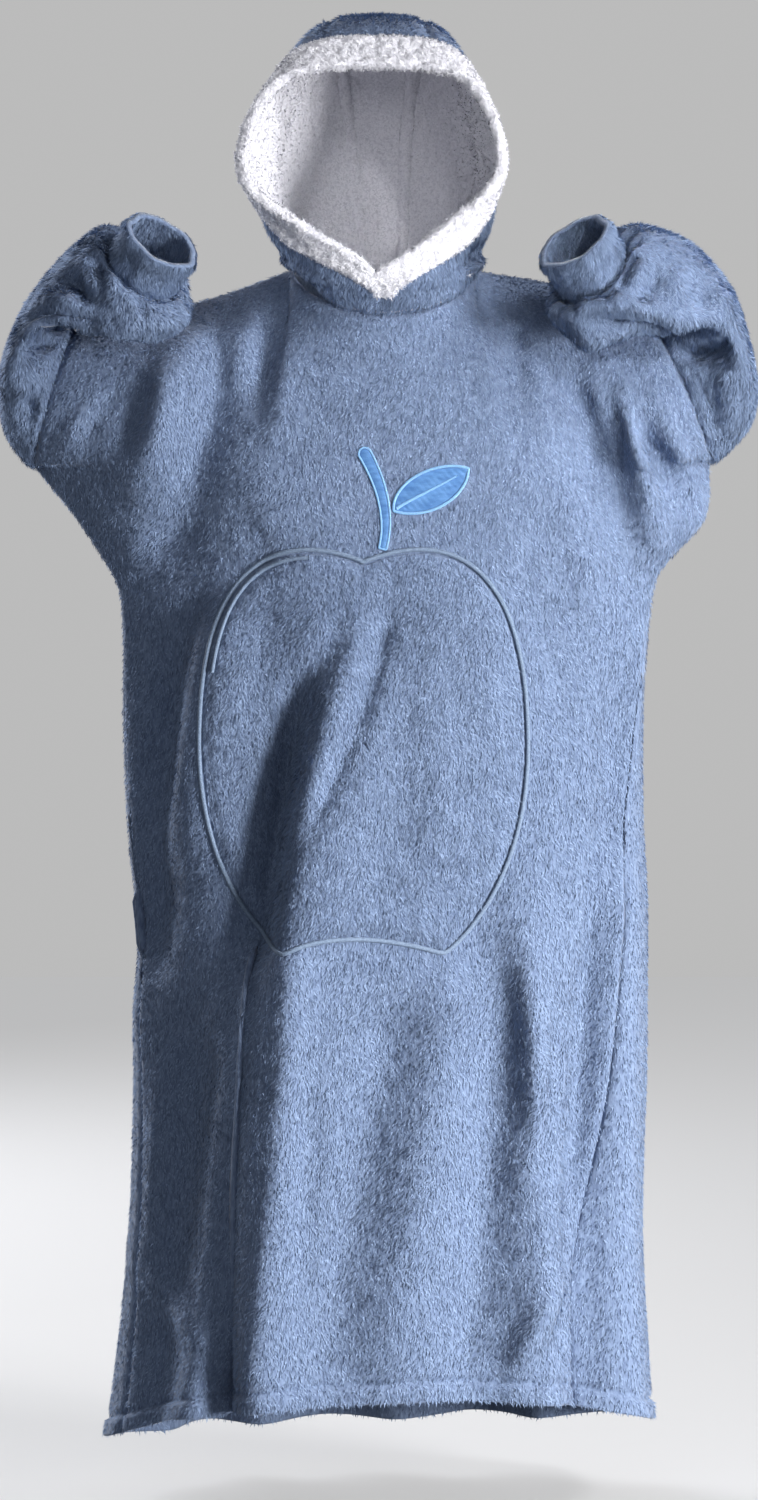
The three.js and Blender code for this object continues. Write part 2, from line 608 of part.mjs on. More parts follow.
// A geometry from points and faces, its faces turned out.
function closedGeometry(points, faces) {
  const used = new Map();
  const position = [];
  const index = faces.flat().map((k) => {
    if (!used.has(k)) {
      used.set(k, position.length / 3);
      position.push(points[k].x, points[k].y, points[k].z);
    }
    return used.get(k);
  });
  let volume = 0;
  for (const [a, b, c] of faces) {
    volume += points[a].dot(points[b].clone().cross(points[c]));
  }
  if (volume < 0) {
    for (let k = 0; k < index.length; k += 3) {
      [index[k], index[k + 1]] = [index[k + 1], index[k]];
    }
  }
  const geometry = new THREE.BufferGeometry();
  geometry.setAttribute('position', new THREE.Float32BufferAttribute(position, 3));
  geometry.setIndex(index);
  geometry.computeVertexNormals();
  return geometry;
}

// The body panels.
const frontNeck = [...HOOD_DEPTHS.slice(1).reverse().map((depth) => -depth), ...HOOD_DEPTHS];
const FRONT = {
  front: true,
  neckAngles: frontNeck.map((depth) => depth * Math.PI / 2),
};
FRONT.columns = 2 * SHOULDER_COLUMNS + FRONT.neckAngles.length - 1;
const BACK = {
  front: false,
  neckAngles: range(0, BACK_NECK_COLUMNS).map((k) => -Math.PI / 2 - Math.PI * k / BACK_NECK_COLUMNS),
};
BACK.columns = 2 * SHOULDER_COLUMNS + BACK_NECK_COLUMNS;

function panelGrid(panel) {
  const rows = panelRows(panel);
  const lowest = PROFILE[PROFILE.length - 1].z;
  const inside = (j) => new THREE.Vector3(0, 0, mix(PROFILE[1].z, lowest, rowShare(j)));
  const grid = makeGrid(BODY_ROWS, panel.columns, false, (i, j) => rows[j][i].point, inside);
  grid.angles = rows.flat().map(({ angle }) => angle);
  return grid;
}

const front = panelGrid(FRONT);
const back = panelGrid(BACK);
shareNormals([front, back]);
for (const grid of [front, back]) {
  grid.points.forEach((point, k) => {
    const row = Math.floor(k / grid.width);
    const column = k % grid.width;
    const fromArmhole = Math.min(column, grid.columns - column);
    const beside = smooth(fromArmhole / FOLD_CLEAR.columns);
    const below = smooth((row - ARMHOLE_ROWS) / FOLD_CLEAR.belowUnderarm);
    const free = row < ARMHOLE_ROWS ? beside * smooth(row / FOLD_CLEAR.rows) : mix(beside, 1, below);
    point.addScaledVector(grid.normals[k], free * foldsAt(grid.angles[k], point));
  });
  grid.normals = gridNormals(grid);
}

// The sleeves and cuffs.
function sleeveGrid(side) {
  const rows = SLEEVE[side].map((row, k) => ({
    at: k,
    cx: row.crook[0], cy: row.crook[1], cz: row.crook[2],
    ex: row.elbow[0], ey: row.elbow[1], ez: row.elbow[2],
    depth: row.halfDepth,
  }));
  const ringAt = (at) => {
    const value = (name) => along(rows, 'at', name, at);
    return {
      crook: new THREE.Vector3(value('cx'), value('cy'), value('cz')),
      elbow: new THREE.Vector3(value('ex'), value('ey'), value('ez')),
      halfDepth: value('depth'),
    };
  };
  const last = rows.length - 1;
  const centreOf = (ring) => ring.crook.clone().add(ring.elbow).multiplyScalar(0.5);
  const forward = new THREE.Vector3(0, -1, 0);
  const lastRing = ringAt(last);
  const cuffFront = vector(CUFF_AXIS[side]).cross(lastRing.crook.clone().sub(lastRing.elbow)).normalize();
  if (cuffFront.y > 0) {
    cuffFront.negate();
  }
  const columns = 2 * ARMHOLE_ROWS;
  const rings = range(0, SLEEVE_RINGS).map((j) => ringAt(last * j / SLEEVE_RINGS));
  return makeGrid(SLEEVE_RINGS, columns, true, (i, j) => {
    const frontward = forward.clone().lerp(cuffFront, smooth(j / SLEEVE_RINGS)).normalize();
    const { crook, elbow, halfDepth } = rings[j];
    return ringPoint(crook, elbow, frontward, halfDepth, 2 * Math.PI * i / columns);
  }, (j) => centreOf(rings[j]));
}

function cuffGrid(side, sleeve) {
  const axis = vector(CUFF_AXIS[side]).normalize();
  const seam = range(0, sleeve.columns - 1).map((i) => sleeve.points[gridIndex(sleeve, i, sleeve.rows)]);
  const centre = seam.reduce((sum, point) => sum.add(point), new THREE.Vector3()).divideScalar(seam.length);
  return makeGrid(CUFF_RINGS, sleeve.columns, true, (i, j) => {
    const spoke = seam[i].clone().sub(centre);
    const flat = spoke.clone().addScaledVector(axis, -spoke.dot(axis)).normalize();
    const rim = flat.multiplyScalar(CUFF_RIM_RADIUS).addScaledVector(axis, CUFF_LENGTH);
    return centre.clone().add(spoke.lerp(rim, j / CUFF_RINGS));
  }, (j) => centre.clone().addScaledVector(axis, CUFF_LENGTH * j / CUFF_RINGS));
}

const sleeves = { left: sleeveGrid('left'), right: sleeveGrid('right') };
const cuffs = { left: cuffGrid('left', sleeves.left), right: cuffGrid('right', sleeves.right) };

// The hood: arcs through the neckline, the collar, the cheek, the side, the corner and the crown.
function hoodArc(depth) {
  const row = (name) => along(HOOD, 'depth', name, depth);
  const half = (sign) => {
    const seam = neckline(sign * depth * Math.PI / 2);
    const outward = new THREE.Vector3(seam.x - NECK.x, seam.y - NECK.y, 0).normalize();
    const collar = seam.clone().addScaledVector(outward, row('out'));
    collar.z += row('up');
    const sideX = sign * row(sign < 0 ? 'sideLeft' : 'sideRight');
    const low = new THREE.Vector3(sign * row(sign < 0 ? 'lowLeft' : 'lowRight'), row('lowY'), row('lowZ'));
    const side = new THREE.Vector3(sideX, row('sideY'), row('sideZ'));
    const corner = new THREE.Vector3(
      sideX * row('corner'),
      mix(row('sideY'), row('crownY'), HOOD_CORNER.back),
      mix(row('sideZ'), row('crownZ'), HOOD_CORNER.up),
    );
    return [seam, collar, low, side, corner];
  };
  const crown = new THREE.Vector3(HOOD_CENTRE, row('crownY'), row('crownZ'));
  return [...half(-1), crown, ...half(1).reverse()];
}

const collarPlace = 1 - 2 * COLLAR_COLUMNS / HOOD_COLUMNS;
const halfArc = [1, collarPlace, ARC_PLACES.low, ARC_PLACES.side, ARC_PLACES.corner];
const ARC_KNOTS = [...halfArc.map((place) => -place), 0, ...halfArc.reverse()];

function backNeckPoint(column) {
  const chord = Math.min(Math.floor(column / 2), BACK_NECK_COLUMNS - 1);
  const from = neckline(BACK.neckAngles[chord]);
  return from.lerp(neckline(BACK.neckAngles[chord + 1]), column / 2 - chord);
}

function hoodPoint(column, depth) {
  const u = 2 * column / HOOD_COLUMNS - 1;
  const last = HOOD[HOOD.length - 1].depth;
  const arcAt = (share) => {
    const arc = hoodArc(share).map((point, k) => ({ at: ARC_KNOTS[k], x: point.x, y: point.y, z: point.z }));
    return new THREE.Vector3(along(arc, 'at', 'x', u), along(arc, 'at', 'y', u), along(arc, 'at', 'z', u));
  };
  if (depth <= last) {
    return arcAt(depth);
  }
  // Behind the last arc the cloth runs on down to the back of the neckline.
  const t = (depth - last) / (1 - last);
  const from = arcAt(last);
  const end = backNeckPoint(column);
  const lead = from.clone().sub(arcAt(last - HOOD_BACK.lead)).multiplyScalar((1 - last) / HOOD_BACK.lead);
  const rise = new THREE.Vector3(0, -HOOD_BACK.tuck, -1);
  rise.multiplyScalar(HOOD_BACK.rise * from.distanceTo(end));
  const square = t * t;
  const cube = square * t;
  return from.clone().multiplyScalar(2 * cube - 3 * square + 1).addScaledVector(lead, cube - 2 * square + t)
    .addScaledVector(end, 3 * square - 2 * cube).addScaledVector(rise, cube - square);
}

function hoodGrid() {
  return makeGrid(HOOD_DEPTHS.length - 1, HOOD_COLUMNS, false, (i, j) => {
    const edge = Math.min(i, HOOD_COLUMNS - i);
    if (edge === 0) {
      const sign = i === 0 ? -1 : 1;
      return neckline(sign * HOOD_DEPTHS[j] * Math.PI / 2);
    }
    if (j === HOOD_DEPTHS.length - 1) {
      return backNeckPoint(i);
    }
    if (j === 0 && edge <= COLLAR_COLUMNS) {
      const seam = neckline(0);
      const collar = hoodArc(0)[1];
      collar.x = HOOD_CENTRE;
      return seam.lerp(collar, edge / COLLAR_COLUMNS);
    }
    return hoodPoint(i, HOOD_DEPTHS[j]);
  }, () => vector(HOOD_INSIDE));
}

const hood = hoodGrid();
hood.turnedFrom = HOOD_COLUMNS / 2;
// At its two lower corners the hood's edges run on in one line, so the normals there come from the rest.
for (const i of [0, HOOD_COLUMNS]) {
  const beside = hood.normals[gridIndex(hood, i === 0 ? 1 : i - 1, hood.rows)];
  const above = hood.normals[gridIndex(hood, i, hood.rows - 1)];
  hood.normals[gridIndex(hood, i, hood.rows)].copy(beside).add(above).normalize();
}

// Seams: shared normals first, then half a gap on each side.
const sewn = [front, back, ...Object.values(sleeves), ...Object.values(cuffs)];
shareNormals([...sewn, hood]);
for (const [hoodColumn, beside, frontColumn, backColumn] of [
  [0, 2, SHOULDER_COLUMNS, SHOULDER_COLUMNS],
  [HOOD_COLUMNS, HOOD_COLUMNS - 2, FRONT.columns - SHOULDER_COLUMNS, BACK.columns - SHOULDER_COLUMNS],
]) {
  const corner = hood.normals[gridIndex(hood, hoodColumn, hood.rows)];
  corner.copy(hood.normals[gridIndex(hood, hoodColumn, hood.rows - 1)]);
  corner.add(hood.normals[gridIndex(hood, beside, hood.rows)]).normalize();
  front.normals[gridIndex(front, frontColumn, 0)].copy(corner);
  back.normals[gridIndex(back, backColumn, 0)].copy(corner);
}
for (let i = 1; i < HOOD_COLUMNS; i += 2) {
  const at = (column) => hood.normals[gridIndex(hood, column, hood.rows)];
  at(i).copy(at(i - 1)).add(at(i + 1)).normalize();
}

for (const grid of [front, back]) {
  openSeam(grid, range(0, BODY_ROWS).map((j) => [0, j, 1, j]));
  openSeam(grid, range(0, BODY_ROWS).map((j) => [grid.columns, j, grid.columns - 1, j]));
  openSeam(grid, range(0, grid.columns).map((i) => [i, 0, i, 1]));
}
for (const side of ['left', 'right']) {
  const sleeve = sleeves[side];
  const cuff = cuffs[side];
  const round = range(0, sleeve.columns - 1);
  openRing(sleeve, round, 0, 1);
  openRing(sleeve, round, sleeve.rows, sleeve.rows - 1);
  openRing(cuff, round, 0, 1);
}

// The hood is cut in three: a side, the centre strip and the other side.
function cutGrid(grid, fromColumn, toColumn, fromRow = 0, toRow = grid.rows) {
  const points = [];
  const normals = [];
  for (let j = fromRow; j <= toRow; j += 1) {
    for (let i = fromColumn; i <= toColumn; i += 1) {
      points.push(grid.points[gridIndex(grid, i, j)].clone());
      normals.push(grid.normals[gridIndex(grid, i, j)].clone());
    }
  }
  const columns = toColumn - fromColumn;
  const turnedFrom = grid.turnedFrom - fromColumn;
  return { rows: toRow - fromRow, columns, closed: false, width: columns + 1, points, normals, turnedFrom };
}

// The side and back edges of a hood piece.
function openHoodSeams(grid) {
  const { rows, columns } = grid;
  openSeam(grid, range(0, rows).map((j) => [0, j, 1, Math.min(j, rows - 1)]));
  openSeam(grid, range(0, rows).map((j) => [columns, j, columns - 1, Math.min(j, rows - 1)]));
  openSeam(grid, range(0, columns).map((i) => [i, rows, Math.min(Math.max(i, 1), columns - 1), rows - 1]));
}

const stripFrom = (HOOD_COLUMNS - HOOD_STRIP_COLUMNS) / 2;
const stripTo = stripFrom + HOOD_STRIP_COLUMNS;
const hoodPieces = {
  hood_side_left: cutGrid(hood, 0, stripFrom),
  hood_centre: cutGrid(hood, stripFrom, stripTo),
  hood_side_right: cutGrid(hood, stripTo, HOOD_COLUMNS),
};
for (const [name, grid] of Object.entries(hoodPieces)) {
  openHoodSeams(grid);
  if (name === 'hood_side_left') {
    openSeam(grid, range(0, COLLAR_COLUMNS).map((i) => [i, 0, i, 1]));
  }
  if (name === 'hood_side_right') {
    openSeam(grid, range(grid.columns - COLLAR_COLUMNS, grid.columns).map((i) => [i, 0, i, 1]));
  }
}

[...sewn, ...Object.values(hoodPieces)].forEach(applyShifts);

// The pieces.
const group = new THREE.Group();
function add(name, geometry, look) {
  const mesh = new THREE.Mesh(geometry, new THREE.MeshStandardMaterial({ ...look, metalness: 0 }));
  mesh.name = name;
  group.add(mesh);
}

function addWall(name, grid) {
  add(name, wall(grid, gridTriangles(grid), 0, -FLEECE), PLUSH);
}

// A ring of lip points in front of the rim, over the edges of the hood and its lining.
function bandLips(columns) {
  const at = (i, j) => hood.points[gridIndex(hood, i, j)];
  const lips = new Map();
  for (const i of columns) {
    const k = gridIndex(hood, i, 0);
    const normal = hood.normals[k];
    const seamEnd = i === COLLAR_COLUMNS ? i - 1 : i + 1;
    const forward = i === COLLAR_COLUMNS || i === HOOD_COLUMNS - COLLAR_COLUMNS
      ? at(i, 0).clone().sub(at(seamEnd, 0))
      : at(i + 1, 0).clone().sub(at(i - 1, 0)).cross(normal);
    forward.addScaledVector(normal, -forward.dot(normal)).normalize();
    if (forward.dot(at(i, 0).clone().sub(at(i, 1))) < 0) {
      forward.negate();
    }
    const lipPoint = (out, height) => {
      const point = at(i, 0).clone().addScaledVector(forward, out);
      return point.addScaledVector(normal, height);
    };
    const full = FLEECE + LAYER_GAP + SHERPA;
    const layerEdges = [-full, -FLEECE - LAYER_GAP, -FLEECE, 0, LAYER_GAP];
    lips.set(k, [
      lipPoint(BAND_LIP, SHERPA / 2),
      lipPoint(BAND_LIP, SHERPA / 2 - full),
      ...layerEdges.map((height) => lipPoint(SEAM_GAP, height)),
    ]);
  }
  return lips;
}

// One half of the rim band, from the point of the neck to the top of the head, with its mitred end.
function bandGeometry(side) {
  const left = side === 'left';
  const middle = HOOD_COLUMNS / 2;
  const end = left ? COLLAR_COLUMNS : HOOD_COLUMNS - COLLAR_COLUMNS;
  const triangles = left
    ? gridTriangles(hood, end, middle, 0, BAND_ROWS)
    : gridTriangles(hood, middle, end, 0, BAND_ROWS);
  const beyond = left ? end - 1 : end;
  triangles.push(...cellTriangles(hood, beyond, 0), cellTriangles(hood, beyond, 1)[0]);
  const columns = left ? range(end, middle) : range(middle, end);
  const lips = bandLips(columns);
  const shifted = { ...hood, points: hood.points.map((point) => point.clone()) };
  const sign = left ? -1 : 1;
  const seamAtTop = range(0, BAND_ROWS).map((j) => [middle, j]);
  const centreLine = [...seamAtTop, [end, 0], [left ? end - 1 : end + 1, 0]];
  for (const [i, j] of centreLine) {
    const k = gridIndex(hood, i, j);
    shifted.points[k].x += sign * SEAM_GAP / 2;
    lips.get(k)?.forEach((point) => {
      point.x += sign * SEAM_GAP / 2;
    });
  }
  return wall(shifted, triangles, LAYER_GAP + SHERPA, LAYER_GAP, lips);
}

// A closed mesh as a solid that can be cut, and back.
function solidOf(geometry) {
  const bare = geometry.clone();
  bare.deleteAttribute('normal');
  bare.deleteAttribute('uv');
  const merged = mergeVertices(bare);
  return new wasm.Manifold(new wasm.Mesh({
    numProp: 3,
    vertProperties: new Float32Array(merged.attributes.position.array),
    triVerts: new Uint32Array(merged.index.array),
  }));
}

function geometryOf(solid) {
  const mesh = solid.getMesh();
  const geometry = new THREE.BufferGeometry();
  geometry.setAttribute('position', new THREE.Float32BufferAttribute(mesh.vertProperties, 3));
  geometry.setIndex(Array.from(mesh.triVerts));
  geometry.computeVertexNormals();
  return geometry;
}

// The pocket's outline, seen from the front: round sides, a shallow dip at the top and a waved foot.
function pocketOutline() {
  const { x, top, bottom, halfWidth, widest } = POCKET;
  const { dip, dipWidth } = POCKET_TOP;
  const foot = POCKET_FOOT.halfWidth;
  const { wave, cornerWidth, cornerHeight } = POCKET_FOOT;
  const shoulder = widest + POCKET.shoulder * (top - widest);
  const hip = widest - POCKET.hip * (widest - bottom);
  const crest = top + dip / 2;
  const left = x - halfWidth;
  const right = x + halfWidth;
  const corner = foot + cornerWidth;
  const shape = new THREE.Shape();
  shape.moveTo(x, top - dip);
  shape.bezierCurveTo(x + dipWidth, crest, right, shoulder, right, widest);
  shape.bezierCurveTo(right, hip, x + corner, bottom + cornerHeight, x + foot, bottom);
  shape.bezierCurveTo(x + foot / 2, bottom + wave, x - foot / 2, bottom + 2 * wave, x - foot, bottom);
  shape.bezierCurveTo(x - corner, bottom + cornerHeight, left, hip, left, widest);
  shape.bezierCurveTo(left, shoulder, x - dipWidth, crest, x, top - dip);
  return shape.getSpacedPoints(OUTLINE_STEPS).slice(0, OUTLINE_STEPS);
}

// An outline moved out by a distance.
function grown(outline, distance) {
  return outline.map((point, k) => {
    const before = outline[(k + outline.length - 1) % outline.length];
    const after = outline[(k + 1) % outline.length];
    const tangent = after.clone().sub(before).normalize();
    const turn = THREE.ShapeUtils.isClockWise(outline) ? 1 : -1;
    return new THREE.Vector2(point.x - turn * tangent.y * distance, point.y + turn * tangent.x * distance);
  });
}

// A pointed leaf between its base and its tip.
function leafOutline() {
  const base = new THREE.Vector2(...LEAF.base);
  const tip = new THREE.Vector2(...LEAF.tip);
  const stretch = tip.clone().sub(base);
  const out = new THREE.Vector2(-stretch.y, stretch.x).normalize().multiplyScalar(LEAF.bulge);
  const shape = new THREE.Shape();
  const control = (share, side) => base.clone().addScaledVector(stretch, share).addScaledVector(out, side);
  shape.moveTo(base.x, base.y);
  const upper = LEAF.upper.map((share) => control(share, 1));
  const lower = LEAF.lower.map((share) => control(share, -1));
  shape.bezierCurveTo(upper[0].x, upper[0].y, upper[1].x, upper[1].y, tip.x, tip.y);
  shape.bezierCurveTo(lower[1].x, lower[1].y, lower[0].x, lower[0].y, base.x, base.y);
  return shape.getSpacedPoints(OUTLINE_STEPS / 2).slice(0, OUTLINE_STEPS / 2);
}

// A curved stem of even width with a round end.
function stemOutline() {
  const points = [STEM.foot, STEM.bend, STEM.top].map((place) => new THREE.Vector2(...place));
  const path = new THREE.QuadraticBezierCurve(points[0], points[1], points[2]);
  const { steps, capSteps } = STEM;
  const sideAt = (k, sign) => {
    const tangent = path.getTangent(k / steps);
    const half = sign * STEM.width / 2;
    return path.getPoint(k / steps).add(new THREE.Vector2(-tangent.y * half, tangent.x * half));
  };
  const left = range(0, steps).map((k) => sideAt(k, 1));
  const right = range(0, steps).map((k) => sideAt(steps - k, -1));
  const end = path.getPoint(1);
  const spoke = left[steps].clone().sub(end);
  const cap = range(1, capSteps - 1).map((k) => {
    const turned = spoke.clone().rotateAround(new THREE.Vector2(), -Math.PI * k / capSteps);
    return turned.add(end);
  });
  return [...left, ...cap, ...right];
}

// A layer that lies on the front panel: the panel's own points moved out, cut to an outline.
function layerOnFront(outline, lower, upper, hole) {
  const prismOf = (points) => {
    const options = { depth: LAYER_REACH, bevelEnabled: false };
    const prism = new THREE.ExtrudeGeometry(new THREE.Shape(points), options);
    return solidOf(prism.rotateX(Math.PI / 2));
  };
  const box = new THREE.Box2().setFromPoints(outline);
  const near = (i, j) => {
    const point = front.points[gridIndex(front, i, j)];
    return Math.abs(point.x - (box.min.x + box.max.x) / 2) < (box.max.x - box.min.x) / 2 + LAYER_MARGIN
      && Math.abs(point.z - (box.min.y + box.max.y) / 2) < (box.max.y - box.min.y) / 2 + LAYER_MARGIN;
  };
  const triangles = [];
  for (let j = 0; j < front.rows; j += 1) {
    for (let i = 0; i < front.columns; i += 1) {
      if (near(i, j)) {
        triangles.push(...cellTriangles(front, i, j));
      }
    }
  }
  const layer = solidOf(wall(front, triangles, upper, lower)).intersect(prismOf(outline));
  return geometryOf(hole ? layer.subtract(prismOf(hole)) : layer);
}

addWall('front_panel', front);
addWall('back_panel', back);
for (const side of ['left', 'right']) {
  addWall(`sleeve_${side}`, sleeves[side]);
  addWall(`cuff_${side}`, cuffs[side]);
}
for (const [name, grid] of Object.entries(hoodPieces)) {
  addWall(name, grid);
}
const liningGrid = cutGrid(hood, 0, HOOD_COLUMNS);
openHoodSeams(liningGrid);
openSeam(liningGrid, range(0, COLLAR_COLUMNS).map((i) => [i, 0, i, 1]));
openSeam(liningGrid, range(HOOD_COLUMNS - COLLAR_COLUMNS, HOOD_COLUMNS).map((i) => [i, 0, i, 1]));
applyShifts(liningGrid);
const liningTop = -FLEECE - LAYER_GAP;
const lining = wall(liningGrid, gridTriangles(liningGrid), liningTop, liningTop - SHERPA);
add('hood_lining', lining, WHITE_PILE);
for (const side of ['left', 'right']) {
  add(`hood_band_${side}`, bandGeometry(side), WHITE_PILE);
}
const pocket = pocketOutline();
add('pocket', layerOnFront(pocket, LAYER_GAP, LAYER_GAP + FLEECE), PLUSH);
const pipingInside = grown(pocket, SEAM_GAP);
const pipingOutside = grown(pocket, SEAM_GAP + PIPING.width);
const piping = layerOnFront(pipingOutside, LAYER_GAP, LAYER_GAP + PIPING.height, pipingInside);
add('pocket_piping', piping, CORD);
add('applique_leaf', layerOnFront(leafOutline(), LAYER_GAP, LAYER_GAP + APPLIQUE), SATIN);
add('applique_stem', layerOnFront(stemOutline(), LAYER_GAP, LAYER_GAP + APPLIQUE), SATIN);

export default group;
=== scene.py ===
# A wearable blanket hoodie in plush fleece: the cloth of each piece, its pile, the sherpa and the sewing.
# Sizes are in millimetres and become metres when a mesh is made.
import math
import bpy
import numpy as np
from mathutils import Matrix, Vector
from mathutils.bvhtree import BVHTree
from mathutils.kdtree import KDTree


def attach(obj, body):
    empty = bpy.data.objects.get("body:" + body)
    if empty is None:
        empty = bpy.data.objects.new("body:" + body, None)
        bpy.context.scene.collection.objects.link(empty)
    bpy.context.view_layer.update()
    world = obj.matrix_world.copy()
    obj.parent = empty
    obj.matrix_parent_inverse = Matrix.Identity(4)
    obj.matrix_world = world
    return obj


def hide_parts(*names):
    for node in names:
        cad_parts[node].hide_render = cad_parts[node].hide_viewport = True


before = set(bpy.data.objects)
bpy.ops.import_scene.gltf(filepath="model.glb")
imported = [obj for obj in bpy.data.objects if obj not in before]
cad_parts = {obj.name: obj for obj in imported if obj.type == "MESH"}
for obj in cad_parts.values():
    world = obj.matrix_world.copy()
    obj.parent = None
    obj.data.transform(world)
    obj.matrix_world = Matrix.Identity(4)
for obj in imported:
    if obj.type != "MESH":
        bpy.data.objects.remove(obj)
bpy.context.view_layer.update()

MM = 0.001
SIDES = ("left", "right")

# The form, as in the solids.
FLEECE = 3.0
SHERPA = 4.5
LAYER_GAP = 0.3
ARMHOLE_ROWS = 10
SIDE_ROWS = 18
SHOULDER_COLUMNS = 8
BACK_NECK_COLUMNS = 14
HOOD_COLUMNS = 2 * BACK_NECK_COLUMNS
HOOD_STRIP_COLUMNS = 4
COLLAR_COLUMNS = 2
SLEEVE_RINGS = 16
CUFF_RINGS = 3
BODY_ROWS = ARMHOLE_ROWS + SIDE_ROWS
SECTION_POWER = 0.88
ROW_SAMPLES = 96
YOKE_FALL = {"depth": 0.2, "height": 0.3}
ARMHOLE_SHARE = 0.18
HOOD_DEPTHS = [0, 0.08, 0.165, 0.29, 0.43, 0.57, 0.71, 0.85, 1]
NECK = {"x": 5, "y": -11.5, "half_width": 113, "half_depth": 106.5, "level": -9, "tilt": 34, "dip": 15}
SHOULDER = {"left": (-205, 6, -27), "right": (203, 4, -8)}
ARMHOLE = {
    "left": {"top": (-360, -38, -70), "bottom": (-412, -32, -236), "half_depth": 72},
    "right": {"top": (322, -35, -56), "bottom": (397, -28, -230), "half_depth": 74},
}

# Centre front and centre back of the body: level, front, back.
PROFILE = [
    (20, 116, 92), (-60, 118, 118), (-150, 134, 130), (-240, 143, 134), (-340, 156, 140),
    (-480, 176, 150), (-650, 190, 160), (-850, 192, 168), (-1100, 190, 178), (-1420, 196, 190),
]

# Sections below the arms: level, half-widths left and right, depth of the sides, side seams in degrees.
SECTIONS = [
    (-230, 412, 397, -30, 90, 90), (-262, 401, 409, -26, 86, 84), (-300, 362, 394, -22, 83, 78),
    (-345, 329, 352, -18, 81, 75), (-400, 314, 335, -14, 80, 74), (-540, 314, 334, -8, 76, 68),
    (-750, 308, 328, -4, 74, 60), (-960, 297, 322, 0, 73, 55), (-1150, 303, 308, 4, 72, 51),
    (-1290, 315, 317, 8, 71, 47), (-1420, 332, 327, 10, 70, 45),
]

# The level of the hem by the angle from centre front in degrees.
HEM = [
    (-180, -1408), (-120, -1410), (-80, -1390), (-45, -1350), (0, -1322),
    (40, -1332), (70, -1362), (90, -1374), (130, -1395), (180, -1408),
]

# Largest folds: three points (x, z) from the top down, depth, left and right widths, fade at the ends.
SIDE_BLEND = 0.5
FOLD_CLEAR = {"columns": 3, "rows": 3, "below_underarm": 4}
FRONT_FOLDS = [
    ("left arm drape", (-206, -40), (-250, -188), (-312, -385), 26, 50, 26, 120),
    ("left arm valley", (-176, -60), (-216, -188), (-272, -385), -28, 28, 44, 120),
    ("right arm valley", (218, -80), (256, -207), (288, -360), -28, 38, 26, 120),
    ("right arm ridge", (270, -120), (302, -240), (330, -345), 20, 26, 28, 120),
    ("right arm crease", (300, -120), (338, -238), (366, -300), -12, 18, 18, 50),
    ("left hip ridge", (-160, -350), (-207, -540), (-256, -760), 26, 28, 50, 120),
    ("left hip valley", (-214, -380), (-250, -560), (-285, -900), -22, 28, 28, 140),
    ("main ridge", (-46, -400), (-104, -800), (-146, -1400), 36, 24, 84, 160),
    ("main valley", (-84, -430), (-136, -780), (-176, -1400), -34, 30, 24, 160),
    ("lower left ridge", (-138, -760), (-168, -1000), (-212, -1400), 34, 40, 24, 120),
    ("lower left valley", (-215, -800), (-240, -1050), (-268, -1400), -18, 30, 34, 160),
    ("left hem ridge", (-276, -1130), (-240, -1220), (-196, -1330), 8, 30, 26, 60),
    ("pocket valley", (-14, -470), (-46, -570), (-74, -680), -9, 26, 30, 70),
    ("right front valley", (120, -640), (128, -950), (136, -1400), -10, 50, 40, 160),
    ("right front ridge", (168, -700), (184, -960), (196, -1400), 18, 42, 36, 140),
    ("right seam valley", (292, -420), (262, -850), (226, -1400), -20, 28, 28, 140),
    ("right side ridge", (290, -640), (278, -960), (294, -1400), 22, 28, 28, 140),
]
BACK_FOLDS = [
    ("left arm drape", (-210, -50), (-262, -200), (-318, -390), 18, 44, 20, 120),
    ("left arm valley", (-172, -70), (-222, -200), (-276, -400), -20, 24, 40, 120),
    ("right arm valley", (176, -70), (226, -200), (282, -400), -20, 40, 24, 120),
    ("right arm drape", (212, -50), (268, -205), (326, -390), 16, 20, 44, 120),
    ("left ridge", (-128, -260), (-176, -720), (-204, -1440), 26, 44, 26, 200),
    ("left valley", (-92, -330), (-124, -740), (-150, -1440), -24, 28, 36, 200),
    ("centre ridge", (-26, -520), (-44, -900), (-62, -1440), 20, 40, 46, 240),
    ("centre valley", (46, -420), (34, -880), (24, -1440), -20, 36, 32, 240),
    ("right ridge", (124, -240), (126, -740), (110, -1440), 28, 30, 54, 200),
    ("right valley", (206, -420), (214, -860), (202, -1440), -24, 34, 28, 200),
    ("right side ridge", (262, -560), (272, -960), (268, -1440), 20, 28, 34, 180),
    ("left side valley", (-236, -640), (-252, -980), (-262, -1440), -16, 28, 30, 180),
]

# Rings of the sleeves: the crook side, the elbow side and the half depth.
SLEEVE = {
    "left": [
        ((-360, -38, -70), (-412, -32, -236), 72), ((-372, -46, -56), (-440, -40, -196), 84),
        ((-366, -66, -44), (-447, -52, -142), 94), ((-346, -90, -46), (-432, -70, -82), 96),
        ((-318, -112, -58), (-408, -88, -36), 90), ((-286, -132, -76), (-374, -108, 4), 82),
        ((-246, -148, -84), (-342, -128, 30), 74), ((-221, -158, -62), (-326, -146, 34), 64),
        ((-239, -152, -37), (-311, -162, 13), 44),
    ],
    "right": [
        ((322, -35, -56), (397, -28, -230), 74), ((348, -42, -46), (438, -36, -186), 86),
        ((352, -62, -40), (445, -48, -136), 96), ((338, -86, -48), (431, -66, -76), 98),
        ((306, -110, -66), (412, -88, -26), 92), ((268, -130, -84), (376, -108, 16), 84),
        ((228, -146, -88), (338, -130, 34), 76), ((198, -156, -58), (304, -148, 36), 64),
        ((216, -150, -42), (284, -164, 14), 44),
    ],
}
